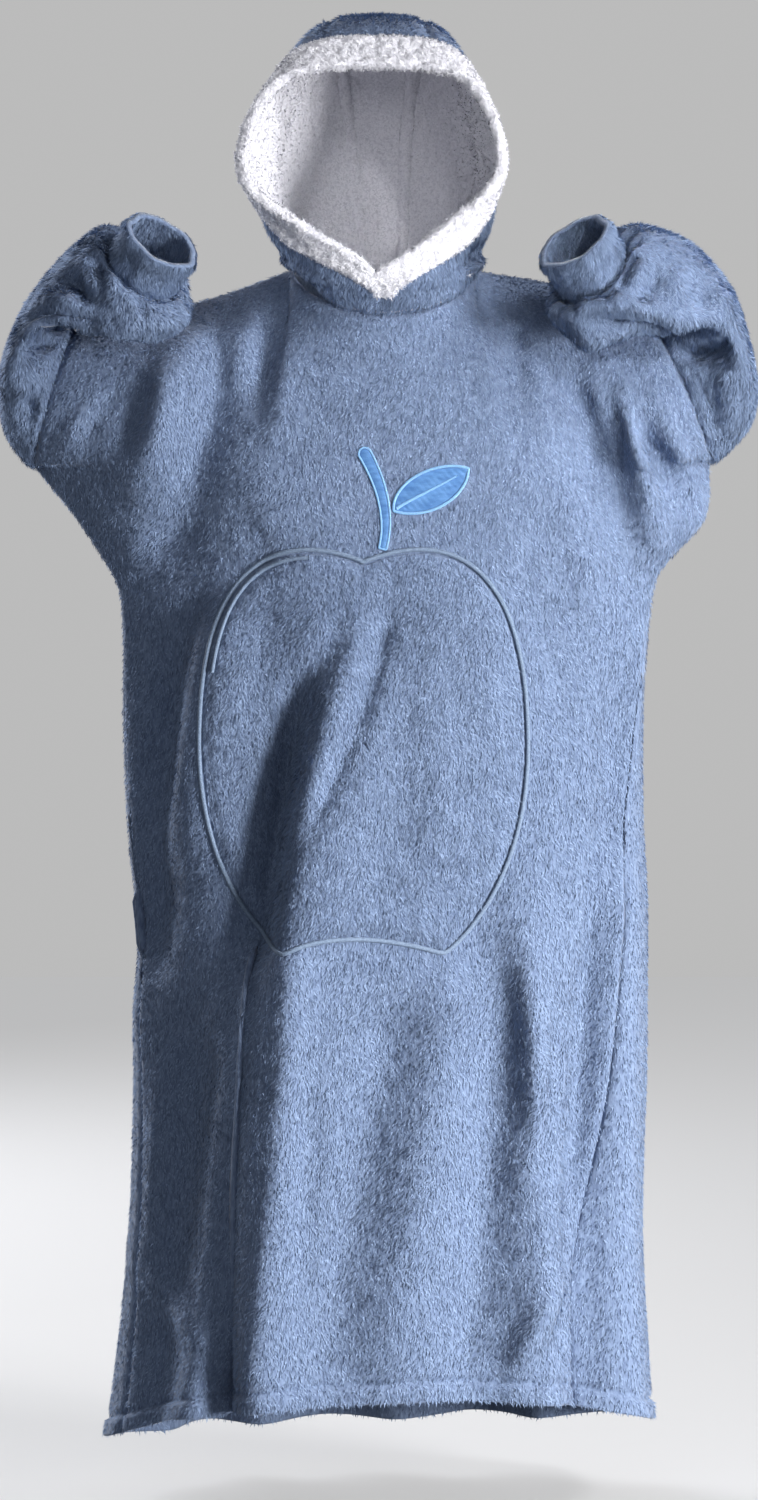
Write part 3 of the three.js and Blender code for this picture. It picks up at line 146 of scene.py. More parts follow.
CUFF_LENGTH = 50
CUFF_RIM_RADIUS = 43
CUFF_AXIS = {"left": (0.5, -0.55, 0.67), "right": (-0.5, -0.5, 0.7)}

# Arcs of the hood from neck to neck over the head, by the share of its depth.
HOOD = [
    {"depth": 0, "out": 20, "up": 41, "low_left": 70, "low_right": 62, "low_y": -142, "low_z": 27,
     "side_left": 160, "side_right": 143, "side_y": -134, "side_z": 105, "corner": 0.74,
     "crown_y": -120, "crown_z": 234},
    {"depth": 0.2, "out": 24, "up": 34, "low_left": 112, "low_right": 112, "low_y": -112, "low_z": 24,
     "side_left": 146, "side_right": 137, "side_y": -96, "side_z": 108, "corner": 0.7,
     "crown_y": -88, "crown_z": 276},
    {"depth": 0.4, "out": 26, "up": 30, "low_left": 124, "low_right": 124, "low_y": -72, "low_z": 34,
     "side_left": 130, "side_right": 128, "side_y": -48, "side_z": 120, "corner": 0.66,
     "crown_y": -38, "crown_z": 302},
    {"depth": 0.6, "out": 24, "up": 26, "low_left": 122, "low_right": 124, "low_y": -18, "low_z": 44,
     "side_left": 122, "side_right": 122, "side_y": 10, "side_z": 128, "corner": 0.64,
     "crown_y": 38, "crown_z": 285},
    {"depth": 0.8, "out": 14, "up": 18, "low_left": 104, "low_right": 108, "low_y": 44, "low_z": 44,
     "side_left": 92, "side_right": 96, "side_y": 82, "side_z": 118, "corner": 0.62,
     "crown_y": 112, "crown_z": 190},
]
HOOD_CENTRE = -4
HOOD_CORNER = {"back": 0.8, "up": 0.84}
HOOD_BACK = {"lead": 0.05, "rise": 0.7, "tuck": 0.2}
HOOD_INSIDE = (0, -20, 110)
ARC_PLACES = (1, 1 - 2 * COLLAR_COLUMNS / HOOD_COLUMNS, 0.72, 0.48, 0.24)

# The pocket and the applique, by their outlines seen from the front.
POCKET = {"x": -18, "top": -336, "bottom": -798, "half_width": 187, "widest": -560,
          "shoulder": 1.16, "hip": 0.52, "dip": 16, "dip_width": 56,
          "foot": 92, "wave": 16, "corner_width": 44, "corner_height": 34}
PIPING = {"width": 7, "height": 4.5}
LEAF = {"base": (17, -289), "tip": (104, -239), "bulge": 30, "upper": (0.12, 0.72), "lower": (0.28, 0.82)}
STEM = {"foot": (4, -333), "bend": (18, -280), "top": (-20, -216), "width": 13}

# Creases seen from the front or from behind: three points (x, z), depth, the widths on each side of the
# line (left of its direction, right of it) and the share of its length over which each end dies out.
CREASE_GAIN = {"front": 1.35, "back": 1.4, "sleeve": 1.45, "hood": 1.2}
BODY_CREASES_FRONT = [
    ((-100, -780), (-116, -1020), (-150, -1360), 10, 14, 26, 0.12),
    ((-138, -770), (-154, -980), (-184, -1360), 19, 22, 20, 0.2),
    ((-196, -880), (-214, -1080), (-240, -1360), -9, 22, 18, 0.2),
    ((105, -800), (56, -1025), (0, -1360), 9, 38, 40, 0.2),
    ((20, -850), (-20, -1040), (-78, -1360), -7, 36, 30, 0.2),
    ((152, -820), (128, -1040), (92, -1360), -7, 26, 26, 0.2),
    ((166, -780), (178, -900), (184, -1020), 8, 15, 17, 0.35),
    ((214, -840), (206, -960), (196, -1100), -8, 15, 16, 0.35),
    ((252, -620), (240, -900), (214, -1260), -7, 14, 12, 0.3),
    ((-250, -420), (-246, -640), (-262, -900), -6, 16, 18, 0.35),
    ((-34, -400), (-98, -562), (-136, -790), -7, 11, 16, 0.3),
    ((14, -372), (-20, -523), (-112, -716), -7, 16, 12, 0.35),
    ((-16, -392), (-60, -560), (-122, -716), 5, 13, 12, 0.35),
    ((-58, -404), (-116, -500), (-164, -650), 5, 16, 22, 0.35),
    ((60, -380), (72, -560), (40, -780), 6, 30, 34, 0.35),
    ((-267, -125), (-284, -169), (-310, -243), -9, 13, 20, 0.5),
    ((-249, -110), (-256, -172), (-278, -262), 9, 14, 16, 0.5),
    ((-301, -151), (-346, -181), (-384, -214), 7, 14, 20, 0.5),
    ((-288, -138), (-330, -176), (-352, -226), -7, 12, 14, 0.5),
    ((-207, -90), (-237, -214), (-303, -366), 8, 12, 30, 0.4),
    ((-177, -54), (-168, -106), (-173, -169), 6, 16, 14, 0.5),
    ((-134, -42), (-138, -111), (-150, -192), -6, 16, 18, 0.5),
    ((-152, -40), (-154, -90), (-162, -150), 4, 10, 12, 0.5),
    ((-100, -70), (-112, -140), (-124, -230), 3, 16, 20, 0.5),
    ((-323, -250), (-300, -285), (-291, -331), -9, 16, 12, 0.5),
    ((270, -122), (278, -214), (302, -331), -11, 10, 14, 0.4),
    ((286, -192), (314, -273), (319, -354), 11, 12, 14, 0.4),
    ((302, -174), (335, -236), (358, -294), -13, 12, 14, 0.35),
    ((320, -169), (353, -227), (372, -273), 8, 10, 14, 0.4),
    ((201, -114), (259, -203), (303, -362), -8, 16, 22, 0.4),
    ((240, -110), (262, -180), (284, -262), 5, 10, 10, 0.5),
    ((147, -54), (159, -111), (168, -192), -6, 18, 16, 0.5),
    ((120, -48), (128, -100), (132, -170), 4, 14, 14, 0.5),
    ((210, -250), (239, -354), (254, -469), 6, 18, 24, 0.5),
    ((180, -380), (206, -480), (214, -600), -4, 20, 22, 0.5),
    ((59, -401), (84, -492), (80, -594), -4, 24, 26, 0.5),
    ((100, -420), (122, -520), (118, -660), 3, 22, 24, 0.5),
    ((-186, -372), (-226, -520), (-262, -700), 5, 14, 16, 0.4),
    ((-275, -1179), (-237, -1227), (-187, -1266), 6, 14, 18, 0.5),
    ((-262, -1150), (-236, -1196), (-206, -1230), -4, 12, 12, 0.5),
    ((-86, -880), (-84, -1060), (-92, -1260), -4, 14, 18, 0.4),
    ((149, -1300), (186, -1235), (222, -1168), 8, 12, 18, 0.4),
    ((170, -1330), (206, -1262), (236, -1200), -6, 12, 14, 0.4),
    ((250, -560), (244, -700), (236, -860), 5, 16, 20, 0.4),
    ((-246, -900), (-262, -1040), (-268, -1180), 5, 14, 16, 0.4),
    ((240, -1000), (244, -1100), (236, -1240), -5, 12, 14, 0.4),
    ((-292, -480), (-288, -600), (-292, -740), 5, 12, 12, 0.4),
]
BODY_CREASES_BACK = [
    ((-292, -170), (-330, -210), (-366, -236), 7, 14, 18, 0.5),
    ((-262, -130), (-290, -200), (-312, -290), -9, 14, 18, 0.5),
    ((-236, -120), (-262, -210), (-292, -330), 7, 12, 16, 0.5),
    ((-150, -60), (-162, -150), (-176, -260), -5, 18, 20, 0.5),
    ((-96, -40), (-104, -140), (-110, -260), 4, 20, 22, 0.5),
    ((40, -30), (32, -130), (36, -260), -3, 26, 26, 0.5),
    ((110, -46), (124, -140), (138, -270), 4, 18, 20, 0.5),
    ((244, -120), (272, -210), (298, -340), 8, 12, 16, 0.5),
    ((276, -150), (312, -230), (336, -316), -9, 13, 15, 0.5),
    ((310, -150), (350, -200), (376, -240), 7, 12, 16, 0.5),
    ((-60, -420), (-74, -620), (-90, -860), 5, 18, 20, 0.4),
    ((86, -460), (80, -660), (70, -900), -5, 18, 20, 0.4),
    ((160, -640), (166, -860), (160, -1100), 5, 16, 18, 0.4),
    ((-160, -900), (-176, -1080), (-190, -1300), -5, 14, 16, 0.4),
    ((-10, -980), (-16, -1120), (-24, -1340), 5, 16, 18, 0.4),
    ((236, -1060), (240, -1180), (232, -1340), 5, 14, 16, 0.4),
    ((-226, -460), (-240, -600), (-246, -760), 5, 14, 16, 0.4),
    ((-280, -820), (-288, -960), (-290, -1120), 5, 14, 14, 0.4),
    ((300, -480), (298, -620), (292, -800), -5, 14, 14, 0.4),
]
SLEEVE_CREASES = {
    "left": [
        ((-402, -119), (-385, -90), (-350, -97), -17, 9, 14, 0.35),
        ((-356, -97), (-304, -110), (-226, -90), -15, 10, 12, 0.35),
        ((-392, -84), (-347, -80), (-290, -98), 10, 13, 12, 0.35),
        ((-405, -60), (-362, -68), (-302, -84), -13, 12, 10, 0.35),
        ((-400, -40), (-362, -50), (-330, -44), 7, 12, 12, 0.4),
        ((-366, -12), (-348, -30), (-337, -56), -12, 9, 12, 0.4),
        ((-345, 8), (-330, -14), (-322, -44), 7, 9, 9, 0.4),
        ((-320, 6), (-322, -12), (-314, -40), -9, 8, 8, 0.4),
        ((-300, -8), (-304, -30), (-306, -62), 5, 10, 10, 0.4),
        ((-262, -34), (-268, -50), (-262, -78), -4, 9, 10, 0.4),
        ((-420, -150), (-405, -168), (-400, -200), -9, 12, 12, 0.4),
        ((-432, -110), (-420, -138), (-396, -150), 7, 12, 12, 0.4),
        ((-417, -194), (-405, -208), (-396, -226), -5, 8, 10, 0.4),
        ((-392, -130), (-380, -170), (-384, -210), 5, 12, 12, 0.4),
    ],
    "right": [
        ((232, -70), (299, -79), (336, -92), -17, 12, 10, 0.35),
        ((330, -90), (375, -104), (420, -92), -14, 12, 11, 0.35),
        ((236, -50), (300, -60), (386, -78), 10, 12, 13, 0.35),
        ((216, -92), (268, -112), (340, -168), 8, 12, 10, 0.35),
        ((254, -16), (259, -34), (266, -52), -11, 8, 9, 0.4),
        ((286, 14), (282, -13), (279, -44), -7, 9, 9, 0.4),
        ((304, 10), (300, -16), (290, -44), 6, 10, 10, 0.4),
        ((322, -8), (309, -34), (290, -52), -6, 12, 10, 0.4),
        ((344, 0), (342, -30), (330, -58), 5, 14, 12, 0.4),
        ((362, -5), (369, -34), (384, -62), -7, 14, 12, 0.4),
        ((396, -20), (398, -50), (404, -78), 5, 12, 12, 0.4),
        ((400, -120), (410, -150), (404, -196), 5, 14, 14, 0.4),
        ((370, -130), (388, -170), (396, -206), -5, 12, 12, 0.4),
    ],
}
SLEEVE_CREASES_BACK = {
    "left": [
        ((-300, 8), (-330, -20), (-356, -60), -8, 12, 12, 0.4),
        ((-330, 20), (-366, -20), (-396, -70), 7, 14, 14, 0.4),
        ((-380, -60), (-396, -110), (-400, -170), -7, 14, 14, 0.4),
        ((-410, -80), (-424, -130), (-418, -186), 5, 12, 12, 0.4),
        ((-280, -40), (-330, -70), (-372, -110), 6, 12, 12, 0.4),
    ],
    "right": [
        ((280, 12), (316, -16), (350, -60), -8, 12, 12, 0.4),
        ((316, 22), (360, -16), (392, -66), 7, 14, 14, 0.4),
        ((372, -56), (392, -110), (392, -170), -7, 14, 14, 0.4),
        ((404, -70), (422, -126), (414, -180), 5, 12, 12, 0.4),
        ((262, -44), (318, -74), (362, -114), 6, 12, 12, 0.4),
    ],
}
HOOD_CREASES = [
    ((-116, 12), (-91, -17), (-50, -38), -8, 9, 12, 0.4),
    ((-106, -24), (-76, -48), (-24, -60), 6, 10, 8, 0.4),
    ((-98, 2), (-70, -18), (-34, -30), 4, 8, 8, 0.4),
    ((118, 34), (112, 11), (98, -18), -6, 10, 10, 0.4),
    ((22, -54), (72, -40), (108, -12), 5, 9, 9, 0.4),
    ((30, -36), (66, -26), (96, 2), -4, 8, 8, 0.4),
    ((-120, 150), (-130, 110), (-118, 60), 4, 16, 16, 0.4),
    ((104, 150), (116, 110), (108, 60), -4, 14, 14, 0.4),
]

# Seams, hem and cuffs.
SEAM_GROOVE = {"depth": 4.5, "width": 5.0}
SEAM_REACH = 4.0
SEAM_THIN = {"share": 0.75, "width": 4.0}
HEM_FRONT = -1322
HEM_STITCH = {"above": 24, "depth": 3.2, "width": 4.0}
HEM_ROLL = 3.0
CUFF_ROLL = {"height": 2.0, "width": 9.0, "reach": 1.5, "dense": 1.3, "extra": 2}

# How creases fade at seams, how far their sides reach and how the cloth is evened.
CREASE_CLEAR = 1.5
CREASE_STEPS = 14
CREASE_END = 0.12
CREASE_REACH = 3.2
PUSH_ROUNDS = 6
RELAX_SHARE = 0.6
UNDERARM_RELAX = {"rows": 1.6, "columns": 2, "rounds": 5}
FACING_SPREAD = 0.7
HOOD_CREASE_DEPTH = 60

# Gathers at the sleeves' ends and waves in the cuffs: height, waves round the ring, start.
GATHERS = [(2.2, 13, 0.0), (1.4, 7, 1.3)]
GATHER_GAIN = 1.5
GATHER_REACH = 34
SLEEVE_CLEAR = {"body": 24, "cuff": 16}
CUFF_WAVES = [(1.2, 5, 0.6), (0.8, 9, 0.0)]
CUFF_CLEAR = 14

# Steps of fine cloth for each span of a coarse grid.
STEPS = {
    "seam": 8, "panel": 4, "below_underarm": 5, "hem": 18, "cuff": 5, "hood": 5, "lining_row": 12,
    "lining_column": 8, "band": 14,
}

# The sherpa: its bumps by weight, size and seed, and the band's rounded edge and turned lip.
SHERPA_BUMP = 1.5
SHERPA_BUMPS = [(1.0, 6.5, 21), (0.55, 3.4, 22)]
LEAST_SHERPA = 1.0
BAND_ROWS = 2
BAND_STEPS = 24
BAND_ROUND = 9.0
BAND_TOP = {"share": 0.4, "width": 4}
BAND_TURN = {"width": 1.2, "start": 0.2, "end": 0.4}
BAND_APART = 0.2
BAND_SMOOTH_ROWS = 6
BAND_LIP = 5.0
BAND_WALL = 2.2
BAND_BACK = -4
BAND_KEPT = 1.2
BAND_LIP_PATH = [
    (0.55, 0.95), (0.85, 0.75), (1.0, 0.45), (1.05, 0.0), (1.05, -0.35), (1.0, -0.7), (0.85, -1.1),
    (0.6, -1.45), (0.25, -1.65), (-0.4, -1.72), (-1.1, -1.66),
]

# The layers on the front: heights above it, widths and the points along each outline.
DEPTH_STEP = 4.0
DEPTH_MARGIN = 20
RAY_START = -1000
OUTLINE_POINTS = 220
POCKET_STEPS = {"side": 60, "foot": 40}
POCKET_RINGS = [0.003, *np.linspace(0.06, 0.9, 14), *np.linspace(0.92, 0.995, 6)]
PUFF = {"edge": 0.8, "full": 3.4, "round": 18, "wave": 1.2, "wave_size": 70, "wave_seed": 51, "wave_edge": 30}
POCKET_UNDER = 0.3
PIPING_TUBE = (2.7, 2.3, 1.9)
PIPING_POINTS = 300
OPENING = {"inside": 6.5, "points": 600, "from": 0.815, "to": 0.955}
OPENING_TUBE = (2.3, 2.1, 4.8)
LEAF_GRID = {"length": 61, "width": 17, "fine": 400}
LEAF_DOME = {"edge": 0.7, "height": 1.4, "quilting": 0.35, "quilt": 9}
APPLIQUE_UNDER = 0.2
STITCH_POINTS = 260
LEAF_STITCH = {"width": 1.7, "wave": 0.2, "height": 1.3, "level": 1.5}
VEIN = {"from": 4, "to": 50, "base": 1.9, "tip": 0.9, "height": 0.9, "level": 2.4}
STEM_GRID = {"length": 48, "width": 11}
STEM_FORM = {"thin": 2.2, "wide": 1.0, "cap": 0.5, "least": 0.01, "edge": 0.5, "dome": 1.8, "flat": 0.96}
STEM_STITCH = (1.3, 1.0, 1.5)

# Pile: the tufts' length, width, lift and turns, and the noises that vary them by weight, size and seed.
PILE_LENGTH = 5.2
PILE_LENGTHS = (0.72, 0.5)
PILE_WIDTH = 1.6
PILE_WIDTHS = (0.35, 0.3)
PILE_ROOT = 0.4
PILE_LIFT = 0.38
LIFT_SPREAD = 0.14
LIFT_RANGE = (0.06, 1.0)
YAW_SPREAD = 0.34
ROLL_SPREAD = 0.3
PILE_SWIRL = 26.0
SWIRLS = [(1.0, 46, 3), (0.9, 17, 5)]
CLUMPS = [(0.5, 6, 7)]
CLUMP_SHARE = 0.18
LOCK_STRETCH = (1.0, 1.0, 0.45)
LOCK_TURN = 0.28
LOCKS = [(1.0, 5.0, 15), (0.6, 2.5, 17)]
NAP_SHADE = 0.12
SHADE_SPREAD = 0.14
PATCHES = [(0.25, 120, 11)]
STREAKS = [(0.15, 5.0, 13)]
PATCH_SPREAD = 0.6
SHAG = 1.35
TONES = {
    "dark": {"share": 0.26, "colour": (0.432, 0.503, 0.628)},
    "mid": {"share": 0.40, "colour": (0.490, 0.563, 0.690)},
    "light": {"share": 0.34, "colour": (0.545, 0.620, 0.748)},
}
TUFTS = {
    "front": 150000, "back": 110000, "sleeve": 48000, "cuff": 12000, "hood": 48000, "pocket": 44000,
    "inside": 10000, "cuff_inside": 4000,
}
PILE_MARGIN = {"piping": 3, "pocket": 1.5, "leaf": 1.5, "stem": 1.0, "stem_points": 80}
UNDER_BAND = {"row": 1.7, "width": 0.4}
THROAT = {"columns": 2.2, "width": 0.8}
INSIDE_HEM = {"rows": 3.0, "width": 1.0}
CURL_TUFTS = {"lining": 30000, "band": 20000}
CURL_LENGTH = 5.0
CURL_LENGTHS = (0.5, 1.1)
CURL_WIDTH = 2.4
CURL_WIDTHS = (0.35, 0.6)
CURL_LIFTS = (0.15, 0.8)
CURL_SHADE = 0.15

# Materials: colours in sRGB, the grain's scale and stretch, and the surface.
CLOTHS = {
    "plush": {"dark": (0.36, 0.42, 0.54), "light": (0.50, 0.57, 0.69), "scale": 260, "stretch": (1, 1, 0.35),
              "roughness": 0.95, "sheen": 0.3, "bump": 0.5, "bump_scale": 600},
    "sherpa": {"dark": (0.80, 0.80, 0.84), "light": (0.93, 0.93, 0.96), "scale": 300, "stretch": (1, 1, 1),
               "roughness": 0.95, "sheen": 0.3, "bump": 0.6, "bump_scale": 500},
    "cord": {"dark": (0.40, 0.47, 0.57), "light": (0.52, 0.59, 0.69), "scale": 500, "stretch": (1, 1, 1),
             "roughness": 0.6, "sheen": 0.1, "bump": 0.4, "bump_scale": 1500},
    "satin": {"dark": (0.27, 0.44, 0.66), "light": (0.38, 0.56, 0.77), "scale": 70, "stretch": (1, 1, 3),
              "roughness": 0.36, "sheen": 0.2, "bump": 0.15, "bump_scale": 2500},
    "thread": {"dark": (0.45, 0.64, 0.85), "light": (0.58, 0.76, 0.93), "scale": 900, "stretch": (1, 1, 1),
               "roughness": 0.5, "sheen": 0.2, "bump": 0.3, "bump_scale": 2000},
}
GRAIN = {"low": 0.3, "high": 0.7, "detail": 6, "bump_detail": 3, "bump_height": 0.001}
SHEEN_ROUGHNESS = 0.5
CLOTH_SPECULAR = 0.2
PILE_LOOK = {"sheen": 0.4, "tint": (0.72, 0.82, 0.98), "roughness": 0.8, "specular": 0.15}
CURL_LOOK = {"colour": (0.93, 0.93, 0.96), "sheen": 0.2, "tint": (1, 1, 1)}

# The stage, in metres: the floor, the daylight, the lamps and the camera.
FLOOR_LEVEL = -1.47
FLOOR_REACH = 8.0
FLOOR_LOOK = {"colour": (0.60, 0.60, 0.61), "roughness": 0.9, "glow": 0.42}
DAYLIGHT = {"colour": (0.92, 0.95, 1.0), "strength": 0.2}
BACKDROP = {"colour": (1.0, 1.0, 1.0), "strength": 0.50}
WARM = (1.0, 0.99, 0.97)
LAMPS = {
    "key": {"at": (3.3, -2.0, 2.3), "aim": (0, 0, -0.3), "size": 1.0, "power": 120, "colour": WARM},
    "low_key": {"at": (2.9, -2.5, -0.75), "aim": (0, 0, -1.25), "size": 1.0, "power": 42, "colour": WARM,
                "spread": 70},
    "fill": {"at": (-1.4, -4.6, 0.9), "aim": (0, 0, -0.5), "size": 2.0, "power": 12,
             "colour": (0.96, 0.98, 1.0)},
    "sleeve_light": {"at": (1.6, -3.2, 0.9), "aim": (0.36, -0.1, -0.06), "size": 0.4, "power": 0.55,
                     "colour": WARM, "spread": 14},
    "hood_light": {"at": (0.5, -2.4, 0.3), "aim": (0, 0, 0.13), "size": 0.5, "power": 0.15, "colour": WARM,
                   "spread": 22},
    "back": {"at": (-3.1, 3.1, 0.9), "aim": (0, 0, -0.5), "size": 2.2, "power": 230,
             "colour": (0.97, 0.98, 1.0)},
}
CAMERA = {"at": (0.0, -5.0, -0.451), "aim": (0, 0, -0.570), "angle": 20.4}


# Small helpers.
def smooth(t):
    t = np.clip(t, 0.0, 1.0)
    return t * t * (3.0 - 2.0 * t)


def mix(a, b, t):
    return a + (b - a) * t


def unit(v):
    length = np.linalg.norm(v, axis=-1, keepdims=True)
    return v / np.maximum(length, 1e-9)


class Table:
    """A smooth value between the rows of a table: a cubic through the four nearest rows."""

    def __init__(self, keys, values):
        order = np.argsort(keys)
        self.keys = np.array(keys, float)[order]
        self.values = np.array(values, float)[order]
        before = np.maximum(np.arange(len(keys)) - 1, 0)
        after = np.minimum(np.arange(len(keys)) + 1, len(keys) - 1)
        self.slopes = (self.values[after] - self.values[before]) / (self.keys[after] - self.keys[before])

    def __call__(self, at):
        at = np.asarray(at, float)
        k = np.clip(np.searchsorted(self.keys, at) - 1, 0, len(self.keys) - 2)
        length = self.keys[k + 1] - self.keys[k]
        t = np.clip((at - self.keys[k]) / length, 0, 1)
        square, cube = t * t, t * t * t
        return ((2 * cube - 3 * square + 1) * self.values[k]
                + (cube - 2 * square + t) * length * self.slopes[k]
                + (3 * square - 2 * cube) * self.values[k + 1]
                + (cube - square) * length * self.slopes[k + 1])


def columns_of(rows):
    return [Table([row[0] for row in rows], [row[k] for row in rows]) for k in range(1, len(rows[0]))]


profile_front, profile_back = columns_of(PROFILE)
section_left, section_right, section_side, seam_left, seam_right = columns_of(SECTIONS)
hem_table, = columns_of(HEM)
hood_tables = {name: Table([row["depth"] for row in HOOD], [row[name] for row in HOOD]) for name in HOOD[0]}


def noise(points, size, seed):
    """Smooth value noise from -1 to 1 at points, with cells of a size."""
    q = points.reshape(-1, 3) / size + seed * 17.31
    cell = np.floor(q).astype(np.int64)
    f = smooth(q - cell)
    total = np.zeros(len(q))
    for corner in range(8):
        offset = np.array([corner & 1, (corner >> 1) & 1, (corner >> 2) & 1])
        c = cell + offset
        h = (c[:, 0] * 73856093) ^ (c[:, 1] * 19349663) ^ (c[:, 2] * 83492791) ^ (seed * 2654435)
        h = (h ^ (h >> 13)) * 1274126177
        value = ((h ^ (h >> 16)) & 0xFFFF) / 32767.5 - 1.0
        total += value * np.prod(np.where(offset == 1, f, 1 - f), axis=1)
    return total.reshape(points.shape[:-1])


def layered(points, layers):
    """A sum of noises, each with its weight, size and seed."""
    return sum(weight * noise(points, size, seed) for weight, size, seed in layers)


def waves(turn, parts):
    return sum(height * np.sin(count * turn + start) for height, count, start in parts)


# The coarse grids, as in the solids.
def neckline(angle):
    angle = np.asarray(angle, float)
    return np.stack([
        NECK["x"] + NECK["half_width"] * np.sin(angle),
        NECK["y"] - NECK["half_depth"] * np.cos(angle),
        NECK["level"] - NECK["tilt"] * np.cos(angle) - NECK["dip"] * np.cos(2 * angle),
    ], -1)


def ring_point(crook, elbow, frontward, half_depth, turn):
    crook, elbow = np.array(crook, float), np.array(elbow, float)
    centre = (crook + elbow) / 2
    return centre + (crook - centre) * math.cos(turn) + np.array(frontward) * half_depth * math.sin(turn)


def armhole_point(side, turn):
    hole = ARMHOLE[side]
    return ring_point(hole["top"], hole["bottom"], (0, -1, 0), hole["half_depth"], turn)


def squared(value):
    return np.sign(value) * np.abs(value) ** SECTION_POWER


def section_point(angle, z):
    across, facing = squared(np.sin(angle)), squared(np.cos(angle))
    side = section_side(z)
    width = np.where(across < 0, section_left(z), section_right(z))
    depth = np.where(facing > 0, profile_front(z) + side, profile_back(z) - side)
    return np.stack([across * width, side - facing * depth, z], -1)


def hem_level(angle):
    turned = np.where(angle > math.pi, angle - 2 * math.pi, angle)
    return hem_table(np.degrees(turned))


def underarm_level(angle):
    side = np.where(np.sin(angle) < 0, ARMHOLE["left"]["bottom"][2], ARMHOLE["right"]["bottom"][2])
    front = mix(neckline(0)[2], hem_level(0.0), ARMHOLE_SHARE)
    back = mix(neckline(math.pi)[2], hem_level(math.pi), ARMHOLE_SHARE)
    dropped = np.where(np.cos(angle) > 0, front, back)
    return mix(side, dropped, np.cos(angle) ** 2)


def row_share(row):
    row = np.asarray(row, float)
    return np.where(row <= ARMHOLE_ROWS, ARMHOLE_SHARE * row / ARMHOLE_ROWS,
                    mix(ARMHOLE_SHARE, 1.0, (row - ARMHOLE_ROWS) / SIDE_ROWS))


def yoke_point(is_front, angle, share, row):
    turn = (1 if is_front else -1) * math.pi * row / ARMHOLE_ROWS
    left, right = armhole_point("left", turn), armhole_point("right", turn)
    across = squared(np.sin(angle))
    facing = np.abs(np.cos(angle)) ** SECTION_POWER
    middle_angle = 0.0 if is_front else math.pi
    z = mix(neckline(middle_angle)[2], hem_level(middle_angle), share)
    depth = -profile_front(z) if is_front else profile_back(z)
    edge = mix(left, right, ((1 + across) / 2)[..., None])
    return np.stack([
        np.where(across < 0, -left[0] * across, right[0] * across),
        edge[..., 1] + (depth - (left[1] + right[1]) / 2) * facing,
        mix(np.where(across < 0, left[2], right[2]), z, np.cos(angle) ** 2),
    ], -1)


def shoulder_path(side, t):
    """A centripetal Catmull-Rom curve from the armhole over the shoulder's crest to the neck."""
    sign = -1 if side == "left" else 1
    knots = [armhole_point(side, 0), np.array(SHOULDER[side], float), neckline(sign * math.pi / 2)]
    place = 2 * t
    k = min(int(place), 1)
    weight = place - k
    chain = [2 * knots[0] - knots[1], *knots, 2 * knots[2] - knots[1]][k:k + 4]
    steps = [np.linalg.norm(chain[n + 1] - chain[n]) ** 0.5 for n in range(3)]
    ends = []
    for n in (1, 2):
        before, after = steps[n - 1], steps[n]
        a, b, c = chain[n - 1], chain[n], chain[n + 1]
        ends.append(((b - a) / before - (c - a) / (before + after) + (c - b) / after) * steps[1])
    p, q = chain[1], chain[2]
    return (p + ends[0] * weight + (-3 * p + 3 * q - 2 * ends[0] - ends[1]) * weight ** 2
            + (2 * p - 2 * q + ends[0] + ends[1]) * weight ** 3)


FRONT_NECK = [-depth * math.pi / 2 for depth in HOOD_DEPTHS[:0:-1]]
FRONT_NECK += [depth * math.pi / 2 for depth in HOOD_DEPTHS]
BACK_NECK = [-math.pi / 2 - math.pi * k / BACK_NECK_COLUMNS for k in range(BACK_NECK_COLUMNS + 1)]


def top_edge(neck_angles, column):
    neck_columns = len(neck_angles) - 1
    if SHOULDER_COLUMNS <= column <= SHOULDER_COLUMNS + neck_columns:
        return neckline(neck_angles[column - SHOULDER_COLUMNS])
    columns = 2 * SHOULDER_COLUMNS + neck_columns
    if column > SHOULDER_COLUMNS:
        return shoulder_path("right", (columns - column) / SHOULDER_COLUMNS)
    return shoulder_path("left", column / SHOULDER_COLUMNS)


def panel_points(is_front):
    """The coarse points of a body panel and the angle of each from centre front."""
    neck_angles = FRONT_NECK if is_front else BACK_NECK
    columns = 2 * SHOULDER_COLUMNS + len(neck_angles) - 1
    rows, angles = [], []
    for row in range(BODY_ROWS + 1):
        share = float(row_share(row))
        lower = max(0.0, (share - ARMHOLE_SHARE) / (1 - ARMHOLE_SHARE))
        level = mix(ARMHOLE["left"]["bottom"][2], SECTIONS[-1][0], lower)
        yoke = row <= ARMHOLE_ROWS
        start = -math.radians(90 if yoke else float(seam_left(level)))
        end = math.radians(90 if yoke else float(seam_right(level)))
        start = start if is_front else start + 2 * math.pi
        t = np.linspace(0, 1, ROW_SAMPLES + 1)

        def place(t):
            angle = mix(start, end, t)
            if yoke:
                return yoke_point(is_front, angle, share, row)
            return section_point(angle, mix(underarm_level(angle), hem_level(angle), lower))

        lengths = np.concatenate([[0], np.cumsum(np.linalg.norm(np.diff(place(t), axis=0), axis=1))])
        spaced = np.interp(np.linspace(0, lengths[-1], columns + 1), lengths, t)
        rows.append(place(spaced))
        angles.append(mix(start, end, spaced))
    points = np.array(rows)
    lift = np.array([top_edge(neck_angles, i) for i in range(columns + 1)]) - points[0]
    share = row_share(np.arange(BODY_ROWS + 1))[:, None]
    points[..., 0] += lift[:, 0] * (1 - share) ** 2
    points[..., 1] += lift[:, 1] * np.clip(1 - share / YOKE_FALL["depth"], 0, 1) ** 3
    points[..., 2] += lift[:, 2] * np.clip(1 - share / YOKE_FALL["height"], 0, 1) ** 2
    return points, np.array(angles)


